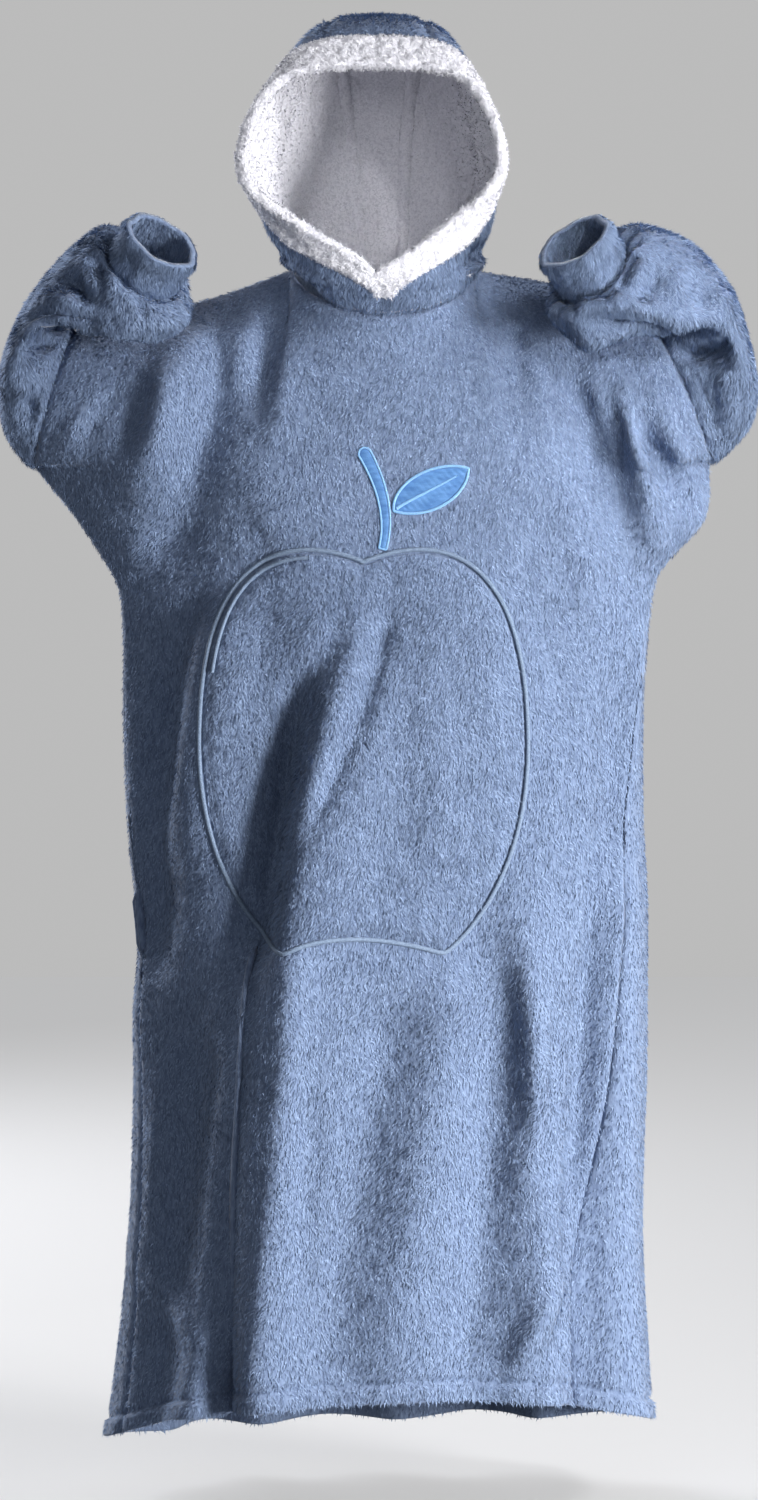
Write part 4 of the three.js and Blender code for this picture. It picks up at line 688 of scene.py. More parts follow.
def sleeve_points(side):
    rows = SLEEVE[side]
    last = len(rows) - 1
    at = np.linspace(0, last, SLEEVE_RINGS + 1)
    crook = np.stack([Table(range(last + 1), [row[0][k] for row in rows])(at) for k in range(3)], -1)
    elbow = np.stack([Table(range(last + 1), [row[1][k] for row in rows])(at) for k in range(3)], -1)
    half_depth = Table(range(last + 1), [row[2] for row in rows])(at)
    cuff_front = unit(np.cross(np.array(CUFF_AXIS[side]), crook[-1] - elbow[-1]))
    if cuff_front[1] > 0:
        cuff_front = -cuff_front
    columns = 2 * ARMHOLE_ROWS
    points = np.zeros((SLEEVE_RINGS + 1, columns, 3))
    for j in range(SLEEVE_RINGS + 1):
        frontward = unit(mix(np.array([0.0, -1.0, 0.0]), cuff_front, smooth(j / SLEEVE_RINGS)))
        for i in range(columns):
            points[j, i] = ring_point(crook[j], elbow[j], frontward, half_depth[j], 2 * math.pi * i / columns)
    return points


def cuff_points(side, sleeve):
    axis = unit(np.array(CUFF_AXIS[side]))
    seam = sleeve[-1]
    centre = seam.mean(axis=0)
    spoke = seam - centre
    flat = unit(spoke - (spoke @ axis)[:, None] * axis)
    rim = flat * CUFF_RIM_RADIUS + axis * CUFF_LENGTH
    return np.array([centre + mix(spoke, rim, j / CUFF_RINGS) for j in range(CUFF_RINGS + 1)])


def hood_arc(depth):
    row = {name: float(table(depth)) for name, table in hood_tables.items()}

    def half(sign):
        name = "left" if sign < 0 else "right"
        seam = neckline(sign * depth * math.pi / 2)
        outward = unit(np.array([seam[0] - NECK["x"], seam[1] - NECK["y"], 0]))
        collar = seam + outward * row["out"] + np.array([0, 0, row["up"]])
        side_x = sign * row["side_" + name]
        low = np.array([sign * row["low_" + name], row["low_y"], row["low_z"]])
        side = np.array([side_x, row["side_y"], row["side_z"]])
        corner = np.array([
            side_x * row["corner"],
            mix(row["side_y"], row["crown_y"], HOOD_CORNER["back"]),
            mix(row["side_z"], row["crown_z"], HOOD_CORNER["up"]),
        ])
        return [seam, collar, low, side, corner]

    crown = np.array([HOOD_CENTRE, row["crown_y"], row["crown_z"]])
    return np.array([*half(-1), crown, *half(1)[::-1]])


ARC_KNOTS = [-place for place in ARC_PLACES] + [0] + list(ARC_PLACES[::-1])


def arc_at(depth, u):
    arc = hood_arc(depth)
    return np.array([float(Table(ARC_KNOTS, arc[:, k])(u)) for k in range(3)])


def back_neck_point(column):
    chord = min(column // 2, BACK_NECK_COLUMNS - 1)
    return mix(neckline(BACK_NECK[chord]), neckline(BACK_NECK[chord + 1]), column / 2 - chord)


def hood_point(column, row):
    depth = HOOD_DEPTHS[row]
    edge = min(column, HOOD_COLUMNS - column)
    if edge == 0:
        return neckline((-1 if column == 0 else 1) * depth * math.pi / 2)
    if row == len(HOOD_DEPTHS) - 1:
        return back_neck_point(column)
    if row == 0 and edge <= COLLAR_COLUMNS:
        collar = hood_arc(0)[1]
        collar[0] = HOOD_CENTRE
        return mix(neckline(0), collar, edge / COLLAR_COLUMNS)
    u = 2 * column / HOOD_COLUMNS - 1
    last = HOOD[-1]["depth"]
    if depth <= last:
        return arc_at(depth, u)
    t = (depth - last) / (1 - last)
    start, end = arc_at(last, u), back_neck_point(column)
    lead = (start - arc_at(last - HOOD_BACK["lead"], u)) * (1 - last) / HOOD_BACK["lead"]
    rise = np.array([0, -HOOD_BACK["tuck"], -1]) * HOOD_BACK["rise"] * np.linalg.norm(start - end)
    return (start * (2 * t ** 3 - 3 * t ** 2 + 1) + lead * (t ** 3 - 2 * t ** 2 + t)
            + end * (3 * t ** 2 - 2 * t ** 3) + rise * (t ** 3 - t ** 2))


def hood_points():
    return np.array([[hood_point(i, j) for i in range(HOOD_COLUMNS + 1)] for j in range(len(HOOD_DEPTHS))])


# Fine grids.
def resampled(points, axis, at, closed=False):
    """Points of a grid at fractional places along an axis, on smooth curves through its own points."""
    p = np.moveaxis(np.asarray(points, float), axis, 0)
    if closed:
        ring = np.concatenate([p[-1:], p, p[:2]])
    else:
        ring = np.concatenate([2 * p[:1] - p[1:2], p, 2 * p[-1:] - p[-2:-1]])
    spans = len(p) if closed else len(p) - 1
    k = np.clip(np.floor(at + 1e-9).astype(int), 0, spans - 1)
    t = (at - k).reshape([-1] + [1] * (p.ndim - 1))
    a, b, c, d = ring[k], ring[k + 1], ring[k + 2], ring[k + 3]
    square, cube = 2 * a - 5 * b + 4 * c - d, 3 * b - a - 3 * c + d
    out = 0.5 * (2 * b + (c - a) * t + square * t ** 2 + cube * t ** 3)
    return np.moveaxis(out, 0, axis)


def places(steps, closed=False):
    """Fractional places along a grid, with a number of steps for each of its spans."""
    parts = [k + np.arange(n) / n for k, n in enumerate(steps)]
    return np.concatenate(parts if closed else parts + [[len(steps)]])


def grid_normals(points, closed, inside):
    """Outward normals of a grid, away from inside, which is one point for all or one for each row."""
    if closed:
        across = np.roll(points, -1, 1) - np.roll(points, 1, 1)
    else:
        across = np.gradient(points, axis=1)
    normals = unit(np.cross(across, np.gradient(points, axis=0)))
    return normals if np.sum(normals * (points - inside)) > 0 else -normals


def fold_height(folds, x, z):
    height = np.zeros_like(x)
    lowest = HEM_FRONT
    for _, (x0, z0), (x1, z1), (x2, z2), depth, left, right, fade in folds:
        t = (z - z0) / (z2 - z0)
        bend = (z1 - z0) / (z2 - z0)
        bow = (x1 - mix(x0, x2, bend)) / (bend * (1 - bend))
        path = mix(x0, x2, t) + bow * t * (1 - t)
        slope = math.hypot(x2 - x0, z2 - z0) / abs(z2 - z0)
        away = (x - path) / slope
        width = np.where(away < 0, left, right)
        lower_end = 1.0 if z2 < lowest else smooth((z - z2) / fade)
        height += depth * smooth((z0 - z) / fade) * lower_end * np.exp(-(away / width) ** 2)
    return height


def crease_height(creases, x, z):
    """The height of soft creases at points seen from the front."""
    height = np.zeros_like(x)
    for p0, p1, p2, depth, left, right, fade in creases:
        p0, p1, p2 = np.array(p0, float), np.array(p1, float), np.array(p2, float)
        reach = CREASE_REACH * max(left, right)
        low, high = np.minimum(np.minimum(p0, p1), p2) - reach, np.maximum(np.maximum(p0, p1), p2) + reach
        near = (x > low[0]) & (x < high[0]) & (z > low[1]) & (z < high[1])
        if not near.any():
            continue
        px, pz = x[near], z[near]
        t = np.linspace(0, 1, CREASE_STEPS + 1)[:, None]
        middle = 2 * p1 - (p0 + p2) / 2
        path = (1 - t) ** 2 * p0 + 2 * t * (1 - t) * middle + t ** 2 * p2
        nearest = np.full(px.shape, np.inf)
        place = np.zeros_like(px)
        side = np.zeros_like(px)
        for k in range(CREASE_STEPS):
            a, d = path[k], path[k + 1] - path[k]
            along = np.clip(((px - a[0]) * d[0] + (pz - a[1]) * d[1]) / (d @ d), 0, 1)
            dx, dz = px - a[0] - along * d[0], pz - a[1] - along * d[1]
            distance = np.hypot(dx, dz)
            closer = distance < nearest
            nearest = np.where(closer, distance, nearest)
            place = np.where(closer, (k + along) / CREASE_STEPS, place)
            side = np.where(closer, d[0] * dz - d[1] * dx, side)
        width = np.where(side > 0, right, left)
        ends = smooth(place / fade + CREASE_END) * smooth((1 - place) / fade + CREASE_END)
        height[near] += depth * ends * np.exp(-(nearest / width) ** 2)
    return height


class Cloth:
    """A fine grid of cloth with an outward normal at each point. Its columns may close into a ring."""

    def __init__(self, points, inside, closed=False):
        self.points = points
        self.closed = closed
        self.inside = inside
        self.normals = grid_normals(points, closed, inside)

    def move(self, height):
        self.points = self.points + self.normals * np.asarray(height)[..., None]
        self.normals = grid_normals(self.points, self.closed, self.inside)

    def neighbours(self, values):
        """The mean of each place's four neighbours. Open edges count as their own neighbours."""
        rows = np.pad(values, ((1, 1), (0, 0), (0, 0)), mode="edge")
        columns = np.pad(values, ((0, 0), (1, 1), (0, 0)), mode="wrap" if self.closed else "edge")
        return (rows[:-2] + rows[2:] + columns[:, :-2] + columns[:, 2:]) / 4

    def push(self, height):
        """Moves the cloth along evened normals, so that the sides of deep creases don't cross."""
        normals = self.normals
        for _ in range(PUSH_ROUNDS):
            normals = unit(normals + self.neighbours(normals))
        self.points = self.points + normals * np.asarray(height)[..., None]
        self.normals = grid_normals(self.points, self.closed, self.inside)

    def relax(self, weight, rounds):
        """Evens out the points inside the grid where the weight is high."""
        weight = np.broadcast_to(weight, self.points.shape[:2]).copy()
        weight[[0, -1]] = 0
        if not self.closed:
            weight[:, [0, -1]] = 0
        for _ in range(rounds):
            self.points = mix(self.points, self.neighbours(self.points), RELAX_SHARE * weight[..., None])
        self.normals = grid_normals(self.points, self.closed, self.inside)

    def lifted(self, height):
        """The same grid moved out along its normals, with the normals kept."""
        copy = Cloth.__new__(Cloth)
        copy.points = self.points + self.normals * np.broadcast_to(height, self.points.shape[:2])[..., None]
        copy.normals = self.normals
        copy.closed = self.closed
        copy.inside = self.inside
        return copy

    def columns(self, first, last):
        copy = self.lifted(0.0)
        copy.points = copy.points[:, first:last + 1]
        copy.normals = copy.normals[:, first:last + 1]
        return copy

    def border(self):
        """Row and column of every point on an open edge."""
        rows, width = self.points.shape[:2]
        edge = [(0, i) for i in range(width)] + [(rows - 1, i) for i in range(width)]
        if not self.closed:
            edge += [(j, i) for j in range(1, rows - 1) for i in (0, width - 1)]
        return edge


def share_normals(cloths):
    """Edges that lie together share their normals, so that seams stay closed when the cloth moves."""
    edges = [(cloth, j, i) for cloth in cloths for j, i in cloth.border()]
    tree = KDTree(len(edges))
    for n, (cloth, j, i) in enumerate(edges):
        tree.insert(cloth.points[j, i], n)
    tree.balance()
    shared = []
    for cloth, j, i in edges:
        near = tree.find_range(cloth.points[j, i], SEAM_REACH)
        shared.append(unit(sum(edges[n][0].normals[edges[n][1], edges[n][2]] for _, n, _ in near)))
    for (cloth, j, i), normal in zip(edges, shared):
        cloth.normals[j, i] = normal


def seam_groove(distance):
    return -SEAM_GROOVE["depth"] * np.exp(-(distance / SEAM_GROOVE["width"]) ** 2)


def edge_distance(cloth, axis, at_end):
    """How far each point lies from one edge of the grid, along the cloth."""
    steps = np.linalg.norm(np.diff(cloth.points, axis=axis), axis=2)
    zero = np.zeros_like(np.take(steps, [0], axis=axis))
    if at_end:
        back = np.flip(np.cumsum(np.flip(steps, axis), axis=axis), axis)
        return np.concatenate([back, zero], axis=axis)
    return np.concatenate([zero, np.cumsum(steps, axis=axis)], axis=axis)


def facing_front(normals):
    return smooth(0.5 - normals[..., 1] / FACING_SPREAD)


def deepened(creases, gain):
    return [(*crease[:3], gain * crease[3], *crease[4:]) for crease in creases]


class Panel:
    """A body panel: its fine cloth, and for each of its points the row, the column and the angle."""

    def __init__(self, is_front):
        coarse, angles = panel_points(is_front)
        self.last = coarse.shape[1] - 1
        above = [STEPS["seam"]] + [STEPS["panel"]] * (ARMHOLE_ROWS - 1)
        row = places(above + [STEPS["below_underarm"]] * (SIDE_ROWS - 1) + [STEPS["hem"]])
        column = places([STEPS["seam"]] + [STEPS["panel"]] * (self.last - 2) + [STEPS["seam"]])
        self.row, self.column = row[:, None], column[None, :]
        self.angle = resampled(resampled(angles[..., None], 0, row), 1, column)[..., 0]
        share = row_share(self.row)
        still = np.zeros_like(share)
        inside = np.concatenate([still, still, mix(PROFILE[1][0], PROFILE[-1][0], share)], 1)[:, None, :]
        self.cloth = Cloth(resampled(resampled(coarse, 0, row), 1, column), inside)
        self.from_side = np.minimum(self.column, self.last - self.column)

    def fold(self):
        beside = smooth(self.from_side / FOLD_CLEAR["columns"])
        below = smooth((self.row - ARMHOLE_ROWS) / FOLD_CLEAR["below_underarm"])
        above = beside * smooth(self.row / FOLD_CLEAR["rows"])
        free = np.where(self.row < ARMHOLE_ROWS, above, mix(beside, 1.0, below))
        self.cloth.move(free * self.blended(fold_height, BACK_FOLDS, FRONT_FOLDS))

    def crease(self):
        clear = smooth(self.from_side / CREASE_CLEAR) * smooth(self.row / CREASE_CLEAR)
        behind = deepened(BODY_CREASES_BACK, CREASE_GAIN["back"])
        in_front = deepened(BODY_CREASES_FRONT, CREASE_GAIN["front"])
        self.cloth.push(clear * self.blended(crease_height, behind, in_front))
        level = smooth(1 - np.abs(self.row - ARMHOLE_ROWS) / UNDERARM_RELAX["rows"])
        self.cloth.relax(level * smooth(self.from_side / UNDERARM_RELAX["columns"]), UNDERARM_RELAX["rounds"])

    def blended(self, height_of, behind, in_front):
        x, z = self.cloth.points[..., 0], self.cloth.points[..., 2]
        facing = smooth(np.cos(self.angle) / SIDE_BLEND + 0.5)
        return mix(height_of(behind, x, z), height_of(in_front, x, z), facing)

    def sew(self):
        grooves = sum(seam_groove(edge_distance(self.cloth, 1, at_end)) for at_end in (False, True))
        grooves = grooves + seam_groove(edge_distance(self.cloth, 0, False))
        from_hem = edge_distance(self.cloth, 0, True)
        stitch = np.exp(-((from_hem - HEM_STITCH["above"]) / HEM_STITCH["width"]) ** 2)
        roll = smooth((HEM_STITCH["above"] - from_hem) / HEM_STITCH["width"] / 2)
        self.cloth.move(grooves - HEM_STITCH["depth"] * stitch + HEM_ROLL * roll)


def ring_cloth(coarse, row):
    """The fine cloth of a sleeve or a cuff, whose columns close into a ring."""
    column = places([STEPS["panel"]] * (2 * ARMHOLE_ROWS), closed=True)
    points = resampled(resampled(coarse, 0, places(row)), 1, column, closed=True)
    return Cloth(points, points.mean(axis=1)[:, None, :], closed=True)


def sleeve_cloth(side):
    """The sleeve with its creases and with the gathers at its cuff."""
    row = [STEPS["seam"]] + [STEPS["panel"]] * (SLEEVE_RINGS - 2) + [STEPS["seam"]]
    sleeve = ring_cloth(sleeve_points(side), row)
    x, z = sleeve.points[..., 0], sleeve.points[..., 2]
    in_front = crease_height(SLEEVE_CREASES[side], x, z)
    behind = crease_height(SLEEVE_CREASES_BACK[side], x, z)
    creased = mix(behind, in_front, facing_front(sleeve.normals))
    from_cuff = edge_distance(sleeve, 0, True)
    from_body = edge_distance(sleeve, 0, False)
    free = smooth(from_body / SLEEVE_CLEAR["body"]) * smooth(from_cuff / SLEEVE_CLEAR["cuff"])
    gathers = np.exp(-(from_cuff / GATHER_REACH) ** 2) * waves(turns(sleeve), GATHERS)
    sleeve.push(free * (CREASE_GAIN["sleeve"] * creased + GATHER_GAIN * gathers))
    return sleeve


def cuff_cloth(side):
    row = [STEPS["seam"]] + [STEPS["cuff"]] * (CUFF_RINGS - 1)
    cuff = ring_cloth(cuff_points(side, sleeve_points(side)), row)
    cuff.move(waves(turns(cuff), CUFF_WAVES) * smooth(edge_distance(cuff, 0, False) / CUFF_CLEAR))
    return cuff


def turns(ring):
    return np.linspace(0, 2 * math.pi, ring.points.shape[1], endpoint=False)[None, :]


def hood_cloth(row, column):
    """The hood's fine cloth. Its front edges meet on the line from the neck up to the collar."""
    points = resampled(resampled(hood_coarse, 0, row), 1, column)
    from_edge = np.minimum(column, HOOD_COLUMNS - column)
    line = mix(NECK["x"], HOOD_CENTRE, np.clip(from_edge / COLLAR_COLUMNS, 0, 1))
    left = column < HOOD_COLUMNS / 2
    low = points[..., 2] < HOOD_INSIDE[2]
    clipped = np.where(left, np.minimum(points[..., 0], line), np.maximum(points[..., 0], line))
    points[..., 0] = np.where(low, clipped, points[..., 0])
    return Cloth(points, np.array(HOOD_INSIDE, float))


def hood_creases(cloth):
    x, z = cloth.points[..., 0], cloth.points[..., 2]
    in_front = smooth(-cloth.points[..., 1] / HOOD_CREASE_DEPTH)
    return CREASE_GAIN["hood"] * crease_height(HOOD_CREASES, x, z) * in_front


def strip_grooves(column):
    """The seam grooves on both sides of the hood's centre strip."""
    return seam_groove((column - STRIP_FROM) * column_width) + seam_groove((column - STRIP_TO) * column_width)


STRIP_FROM = (HOOD_COLUMNS - HOOD_STRIP_COLUMNS) // 2
STRIP_TO = STRIP_FROM + HOOD_STRIP_COLUMNS
SEAM_COLUMNS = (0, STRIP_FROM - 1, STRIP_FROM, STRIP_TO - 1, STRIP_TO, HOOD_COLUMNS - 1)
hood_coarse = hood_points()
hood_row = places([STEPS["hood"]] * (len(HOOD_DEPTHS) - 2) + [STEPS["seam"]])
hood_column = places([STEPS["seam"] if k in SEAM_COLUMNS else STEPS["panel"] for k in range(HOOD_COLUMNS)])

front_panel, back_panel = Panel(True), Panel(False)
panels = (front_panel, back_panel)
front, back = front_panel.cloth, back_panel.cloth
share_normals([front, back])
for panel in panels:
    panel.fold()
share_normals([front, back])
for panel in panels:
    panel.crease()
sleeves = {side: sleeve_cloth(side) for side in SIDES}
cuffs = {side: cuff_cloth(side) for side in SIDES}
hood = hood_cloth(hood_row, hood_column)
hood.move(hood_creases(hood))

share_normals([front, back, hood, *sleeves.values(), *cuffs.values()])
for panel in panels:
    panel.sew()
for side in SIDES:
    ends = [seam_groove(edge_distance(sleeves[side], 0, at_end)) for at_end in (False, True)]
    sleeves[side].move(ends[0] + ends[1])
    cuffs[side].move(seam_groove(edge_distance(cuffs[side], 0, False)))
column_width = np.linalg.norm(np.diff(hood.points, axis=1), axis=2).sum(axis=1).mean() / HOOD_COLUMNS
hood.move(
    seam_groove(edge_distance(hood, 1, False)) + seam_groove(edge_distance(hood, 1, True))
    + strip_grooves(hood_column) + seam_groove(edge_distance(hood, 0, True))
)


# Meshes.
def new_mesh(name, points, faces):
    mesh = bpy.data.meshes.new(name)
    mesh.vertices.add(len(points))
    mesh.vertices.foreach_set("co", (np.asarray(points) * MM).astype(np.float32).ravel())
    faces = np.asarray(faces, np.int32)
    mesh.loops.add(faces.size)
    mesh.loops.foreach_set("vertex_index", faces.ravel())
    mesh.polygons.add(len(faces))
    mesh.polygons.foreach_set("loop_start", np.arange(0, faces.size, faces.shape[1], dtype=np.int32))
    mesh.polygons.foreach_set("use_smooth", np.full(len(faces), True))
    mesh.update(calc_edges=True)
    return mesh


def place(name, mesh, material, slot, replaced=None):
    obj = bpy.data.objects.new(name, mesh)
    bpy.context.scene.collection.objects.link(obj)
    mesh.materials.append(material)
    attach(obj, "root")
    if replaced:
        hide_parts(replaced)
    return obj


def grid_faces(rows, width, closed):
    j, i = np.meshgrid(np.arange(rows - 1), np.arange(width if closed else width - 1), indexing="ij")
    a = j * width + i
    b = j * width + (i + 1) % width
    return np.stack([a, b, b + width, a + width], -1).reshape(-1, 4)


def shell_mesh(name, outer, inner, closed):
    """A closed shell between an outer and an inner grid of points."""
    rows, width = outer.shape[:2]
    count = rows * width
    faces = grid_faces(rows, width, closed)
    rim = []
    last = (rows - 1) * width
    for i in range(width if closed else width - 1):
        n = (i + 1) % width
        rim.append((n, i, i + count, n + count))
        rim.append((last + i, last + n, last + n + count, last + i + count))
    if not closed:
        for a in range(0, last, width):
            b = a + width
            rim.append((a, b, b + count, a + count))
            rim.append((b + width - 1, a + width - 1, a + width - 1 + count, b + width - 1 + count))
    faces = np.concatenate([faces, faces[:, ::-1] + count, np.array(rim)])
    points = np.concatenate([outer.reshape(-1, 3), inner.reshape(-1, 3)])
    corner = points[faces[:count // 2]]
    facing = np.cross(corner[:, 1] - corner[:, 0], corner[:, 3] - corner[:, 0])
    outward = (outer - inner).reshape(-1, 3)[faces[:count // 2, 0]]
    if np.sum(facing * outward) < 0:
        faces = faces[:, ::-1]
    return new_mesh(name, points, faces)


def cloth_mesh(name, cloth, upper, lower):
    return shell_mesh(name, cloth.lifted(upper).points, cloth.lifted(lower).points, cloth.closed)


def place_sheet(mesh, slot, replaced, **cut):
    """A piece of cloth that stands for a solid, which it hides. Its flat cut is not used."""
    piece = place(mesh.name, mesh, cloth_materials[slot], slot, replaced)


# Pile.
class Surface:
    """Triangles of a cloth grid, to draw evenly spread places from. A weight thins the places out."""

    def __init__(self, cloth, weight=1.0):
        rows, width = cloth.points.shape[:2]
        quads = grid_faces(rows, width, cloth.closed)
        self.corners = np.concatenate([quads[:, [0, 1, 2]], quads[:, [0, 2, 3]]])
        self.points = cloth.points.reshape(-1, 3)
        self.normals = cloth.normals.reshape(-1, 3)
        a, b, c = (self.points[self.corners[:, k]] for k in range(3))
        area = np.linalg.norm(np.cross(b - a, c - a), axis=1) / 2
        area *= np.broadcast_to(weight, (rows, width)).reshape(-1)[self.corners].mean(axis=1)
        self.share = np.cumsum(area) / area.sum()

    def draw(self, count, rng):
        pick = np.minimum(np.searchsorted(self.share, rng.random(count)), len(self.share) - 1)
        u, v = rng.random(count), rng.random(count)
        over = u + v > 1
        u, v = np.where(over, 1 - u, u), np.where(over, 1 - v, v)
        weights = np.stack([1 - u - v, u, v], 1)[..., None]
        corner = self.corners[pick]
        return (self.points[corner] * weights).sum(1), unit((self.normals[corner] * weights).sum(1))


def nap_direction(points, normals):
    """The way the pile lies: down the cloth, turned by wide and narrow swirls."""
    downward = np.array([0.0, 0.0, -1.0])
    down = unit(downward - (normals @ downward)[:, None] * normals + 1e-6)
    side = np.cross(normals, down)
    turn = np.radians(PILE_SWIRL * layered(points, SWIRLS))
    return down * np.cos(turn)[:, None] + side * np.sin(turn)[:, None]


def pile(name, surface, count, seed, keep=None, shag=1.0):
    """Tufts of pile on a surface: small pointed blades in three tones."""
    rng = np.random.default_rng(seed)
    points, normals = surface.draw(count, rng)
    if keep is not None:
        chosen = keep(points)
        points, normals = points[chosen], normals[chosen]
    count = len(points)
    nap = nap_direction(points, normals)
    yaw = rng.normal(0, YAW_SPREAD, count)
    direction = nap * np.cos(yaw)[:, None] + np.cross(normals, nap) * np.sin(yaw)[:, None]
    clump = layered(points, CLUMPS)
    lift = np.clip(shag * PILE_LIFT + CLUMP_SHARE * clump + rng.normal(0, LIFT_SPREAD, count), *LIFT_RANGE)
    direction = direction * np.cos(lift)[:, None] + normals * np.sin(lift)[:, None]
    uneven = PILE_LENGTHS[0] + PILE_LENGTHS[1] * rng.random(count)
    reach = shag * PILE_LENGTH * uneven * (1 + CLUMP_SHARE * clump)
    roll = unit(np.cross(normals, direction) + ROLL_SPREAD * normals * rng.normal(0, 1, count)[:, None])
    across = roll * (PILE_WIDTH * (PILE_WIDTHS[0] + PILE_WIDTHS[1] * rng.random(count)))[:, None]
    base = points + normals * PILE_ROOT
    corners = np.stack([base - across, base + across, base + direction * reach[:, None]], 1)
    streak = points * LOCK_STRETCH / shag
    sideways = shag * LOCK_TURN * layered(streak, LOCKS)
    shade = normals + sideways[:, None] * np.cross(normals, nap) + NAP_SHADE * nap
    shade = unit(shade + SHADE_SPREAD * rng.normal(0, 1, (count, 3)))
    patch = layered(points, PATCHES) + layered(streak, STREAKS) + rng.normal(0, PATCH_SPREAD, count)
    order = np.argsort(np.argsort(patch)) / count
    low = 0.0
    for tone, look in TONES.items():
        chosen = (order >= low) & (order < low + look["share"])
        low += look["share"]
        blades(f"{name}_pile_{tone}", corners[chosen], shade[chosen], pile_materials[tone], "plush")


def curls(name, surface, count, seed):
    """Short curly tufts of sherpa, standing up in all directions."""
    rng = np.random.default_rng(seed)
    points, normals = surface.draw(count, rng)
    sideways = rng.normal(0, 1, (count, 3))
    sideways = unit(sideways - (sideways * normals).sum(1, keepdims=True) * normals)
    lift = rng.uniform(*CURL_LIFTS, count)[:, None]
    direction = sideways * np.cos(lift) + normals * np.sin(lift)
    reach = (CURL_LENGTH * rng.uniform(*CURL_LENGTHS, count))[:, None]
    roll = unit(np.cross(normals, direction)) * (CURL_WIDTH * rng.uniform(*CURL_WIDTHS, count))[:, None]
    corners = np.stack([points - roll, points + roll, points + direction * reach], 1)
    shade = unit(normals + CURL_SHADE * rng.normal(0, 1, (count, 3)))
    blades(name, corners, shade, curl_material, "sherpa")


def blades(name, corners, shade, material, slot):
    """One mesh of loose triangles, shaded by the given normals."""
    facing = np.cross(corners[:, 1] - corners[:, 0], corners[:, 2] - corners[:, 0])
    turned = (facing * shade).sum(1) < 0
    corners = np.where(turned[:, None, None], corners[:, [1, 0, 2]], corners)
    mesh = new_mesh(name, corners.reshape(-1, 3), np.arange(len(corners) * 3).reshape(-1, 3))
    mesh.normals_split_custom_set_from_vertices(np.repeat(shade, 3, axis=0).astype(np.float32))
    return place(name, mesh, material, slot)


# Materials.
def linear(colour):
    return tuple(c / 12.92 if c <= 0.04045 else ((c + 0.055) / 1.055) ** 2.4 for c in colour) + (1.0,)


def new_material(name):
    material = bpy.data.materials.new(name)
    material.use_nodes = True
    tree = material.node_tree
    tree.nodes.clear()
    output = tree.nodes.new("ShaderNodeOutputMaterial")
    shader = tree.nodes.new("ShaderNodeBsdfPrincipled")
    tree.links.new(shader.outputs[0], output.inputs[0])
    return material, tree, shader


def noise_value(tree, scale, detail, stretch):
    coordinates = tree.nodes.new("ShaderNodeTexCoord")
    mapping = tree.nodes.new("ShaderNodeMapping")
    mapping.inputs["Scale"].default_value = stretch
    texture = tree.nodes.new("ShaderNodeTexNoise")
    texture.inputs["Scale"].default_value = scale
    texture.inputs["Detail"].default_value = detail
    tree.links.new(coordinates.outputs["Object"], mapping.inputs["Vector"])
    tree.links.new(mapping.outputs["Vector"], texture.inputs["Vector"])
    return texture.outputs["Fac"]


def cloth_material(name, dark, light, scale, stretch, roughness, sheen, bump, bump_scale):
    material, tree, shader = new_material(name)
    ramp = tree.nodes.new("ShaderNodeValToRGB")
    low, high = ramp.color_ramp.elements
    low.position, high.position = GRAIN["low"], GRAIN["high"]
    low.color, high.color = linear(dark), linear(light)
    tree.links.new(noise_value(tree, scale, GRAIN["detail"], stretch), ramp.inputs[0])
    tree.links.new(ramp.outputs[0], shader.inputs["Base Color"])
    shader.inputs["Roughness"].default_value = roughness
    shader.inputs["Sheen Weight"].default_value = sheen
    shader.inputs["Sheen Roughness"].default_value = SHEEN_ROUGHNESS
    shader.inputs["Specular IOR Level"].default_value = CLOTH_SPECULAR
    relief = tree.nodes.new("ShaderNodeBump")
    relief.inputs["Strength"].default_value = bump
    relief.inputs["Distance"].default_value = GRAIN["bump_height"]
    tree.links.new(noise_value(tree, bump_scale, GRAIN["bump_detail"], stretch), relief.inputs["Height"])
    tree.links.new(relief.outputs[0], shader.inputs["Normal"])
    return material


def pile_material(name, colour, sheen, tint):
    material, _, shader = new_material(name)
    shader.inputs["Base Color"].default_value = linear(colour)
    shader.inputs["Roughness"].default_value = PILE_LOOK["roughness"]
    shader.inputs["Specular IOR Level"].default_value = PILE_LOOK["specular"]
    shader.inputs["Sheen Weight"].default_value = sheen
    shader.inputs["Sheen Roughness"].default_value = SHEEN_ROUGHNESS
    shader.inputs["Sheen Tint"].default_value = linear(tint)
    return material


cloth_materials = {name: cloth_material(name, **look) for name, look in CLOTHS.items()}
pile_materials = {
    tone: pile_material(f"pile_{tone}", look["colour"], PILE_LOOK["sheen"], PILE_LOOK["tint"])
    for tone, look in TONES.items()
}
curl_material = pile_material("curl", **CURL_LOOK)


# The plush pieces.
def rim_roll(cuff):
    """How much thicker a cuff is towards its mouth, on each side."""
    from_mouth = edge_distance(cuff, 0, True) / CUFF_ROLL["width"]
    return CUFF_ROLL["height"] * smooth(CUFF_ROLL["reach"] - from_mouth)


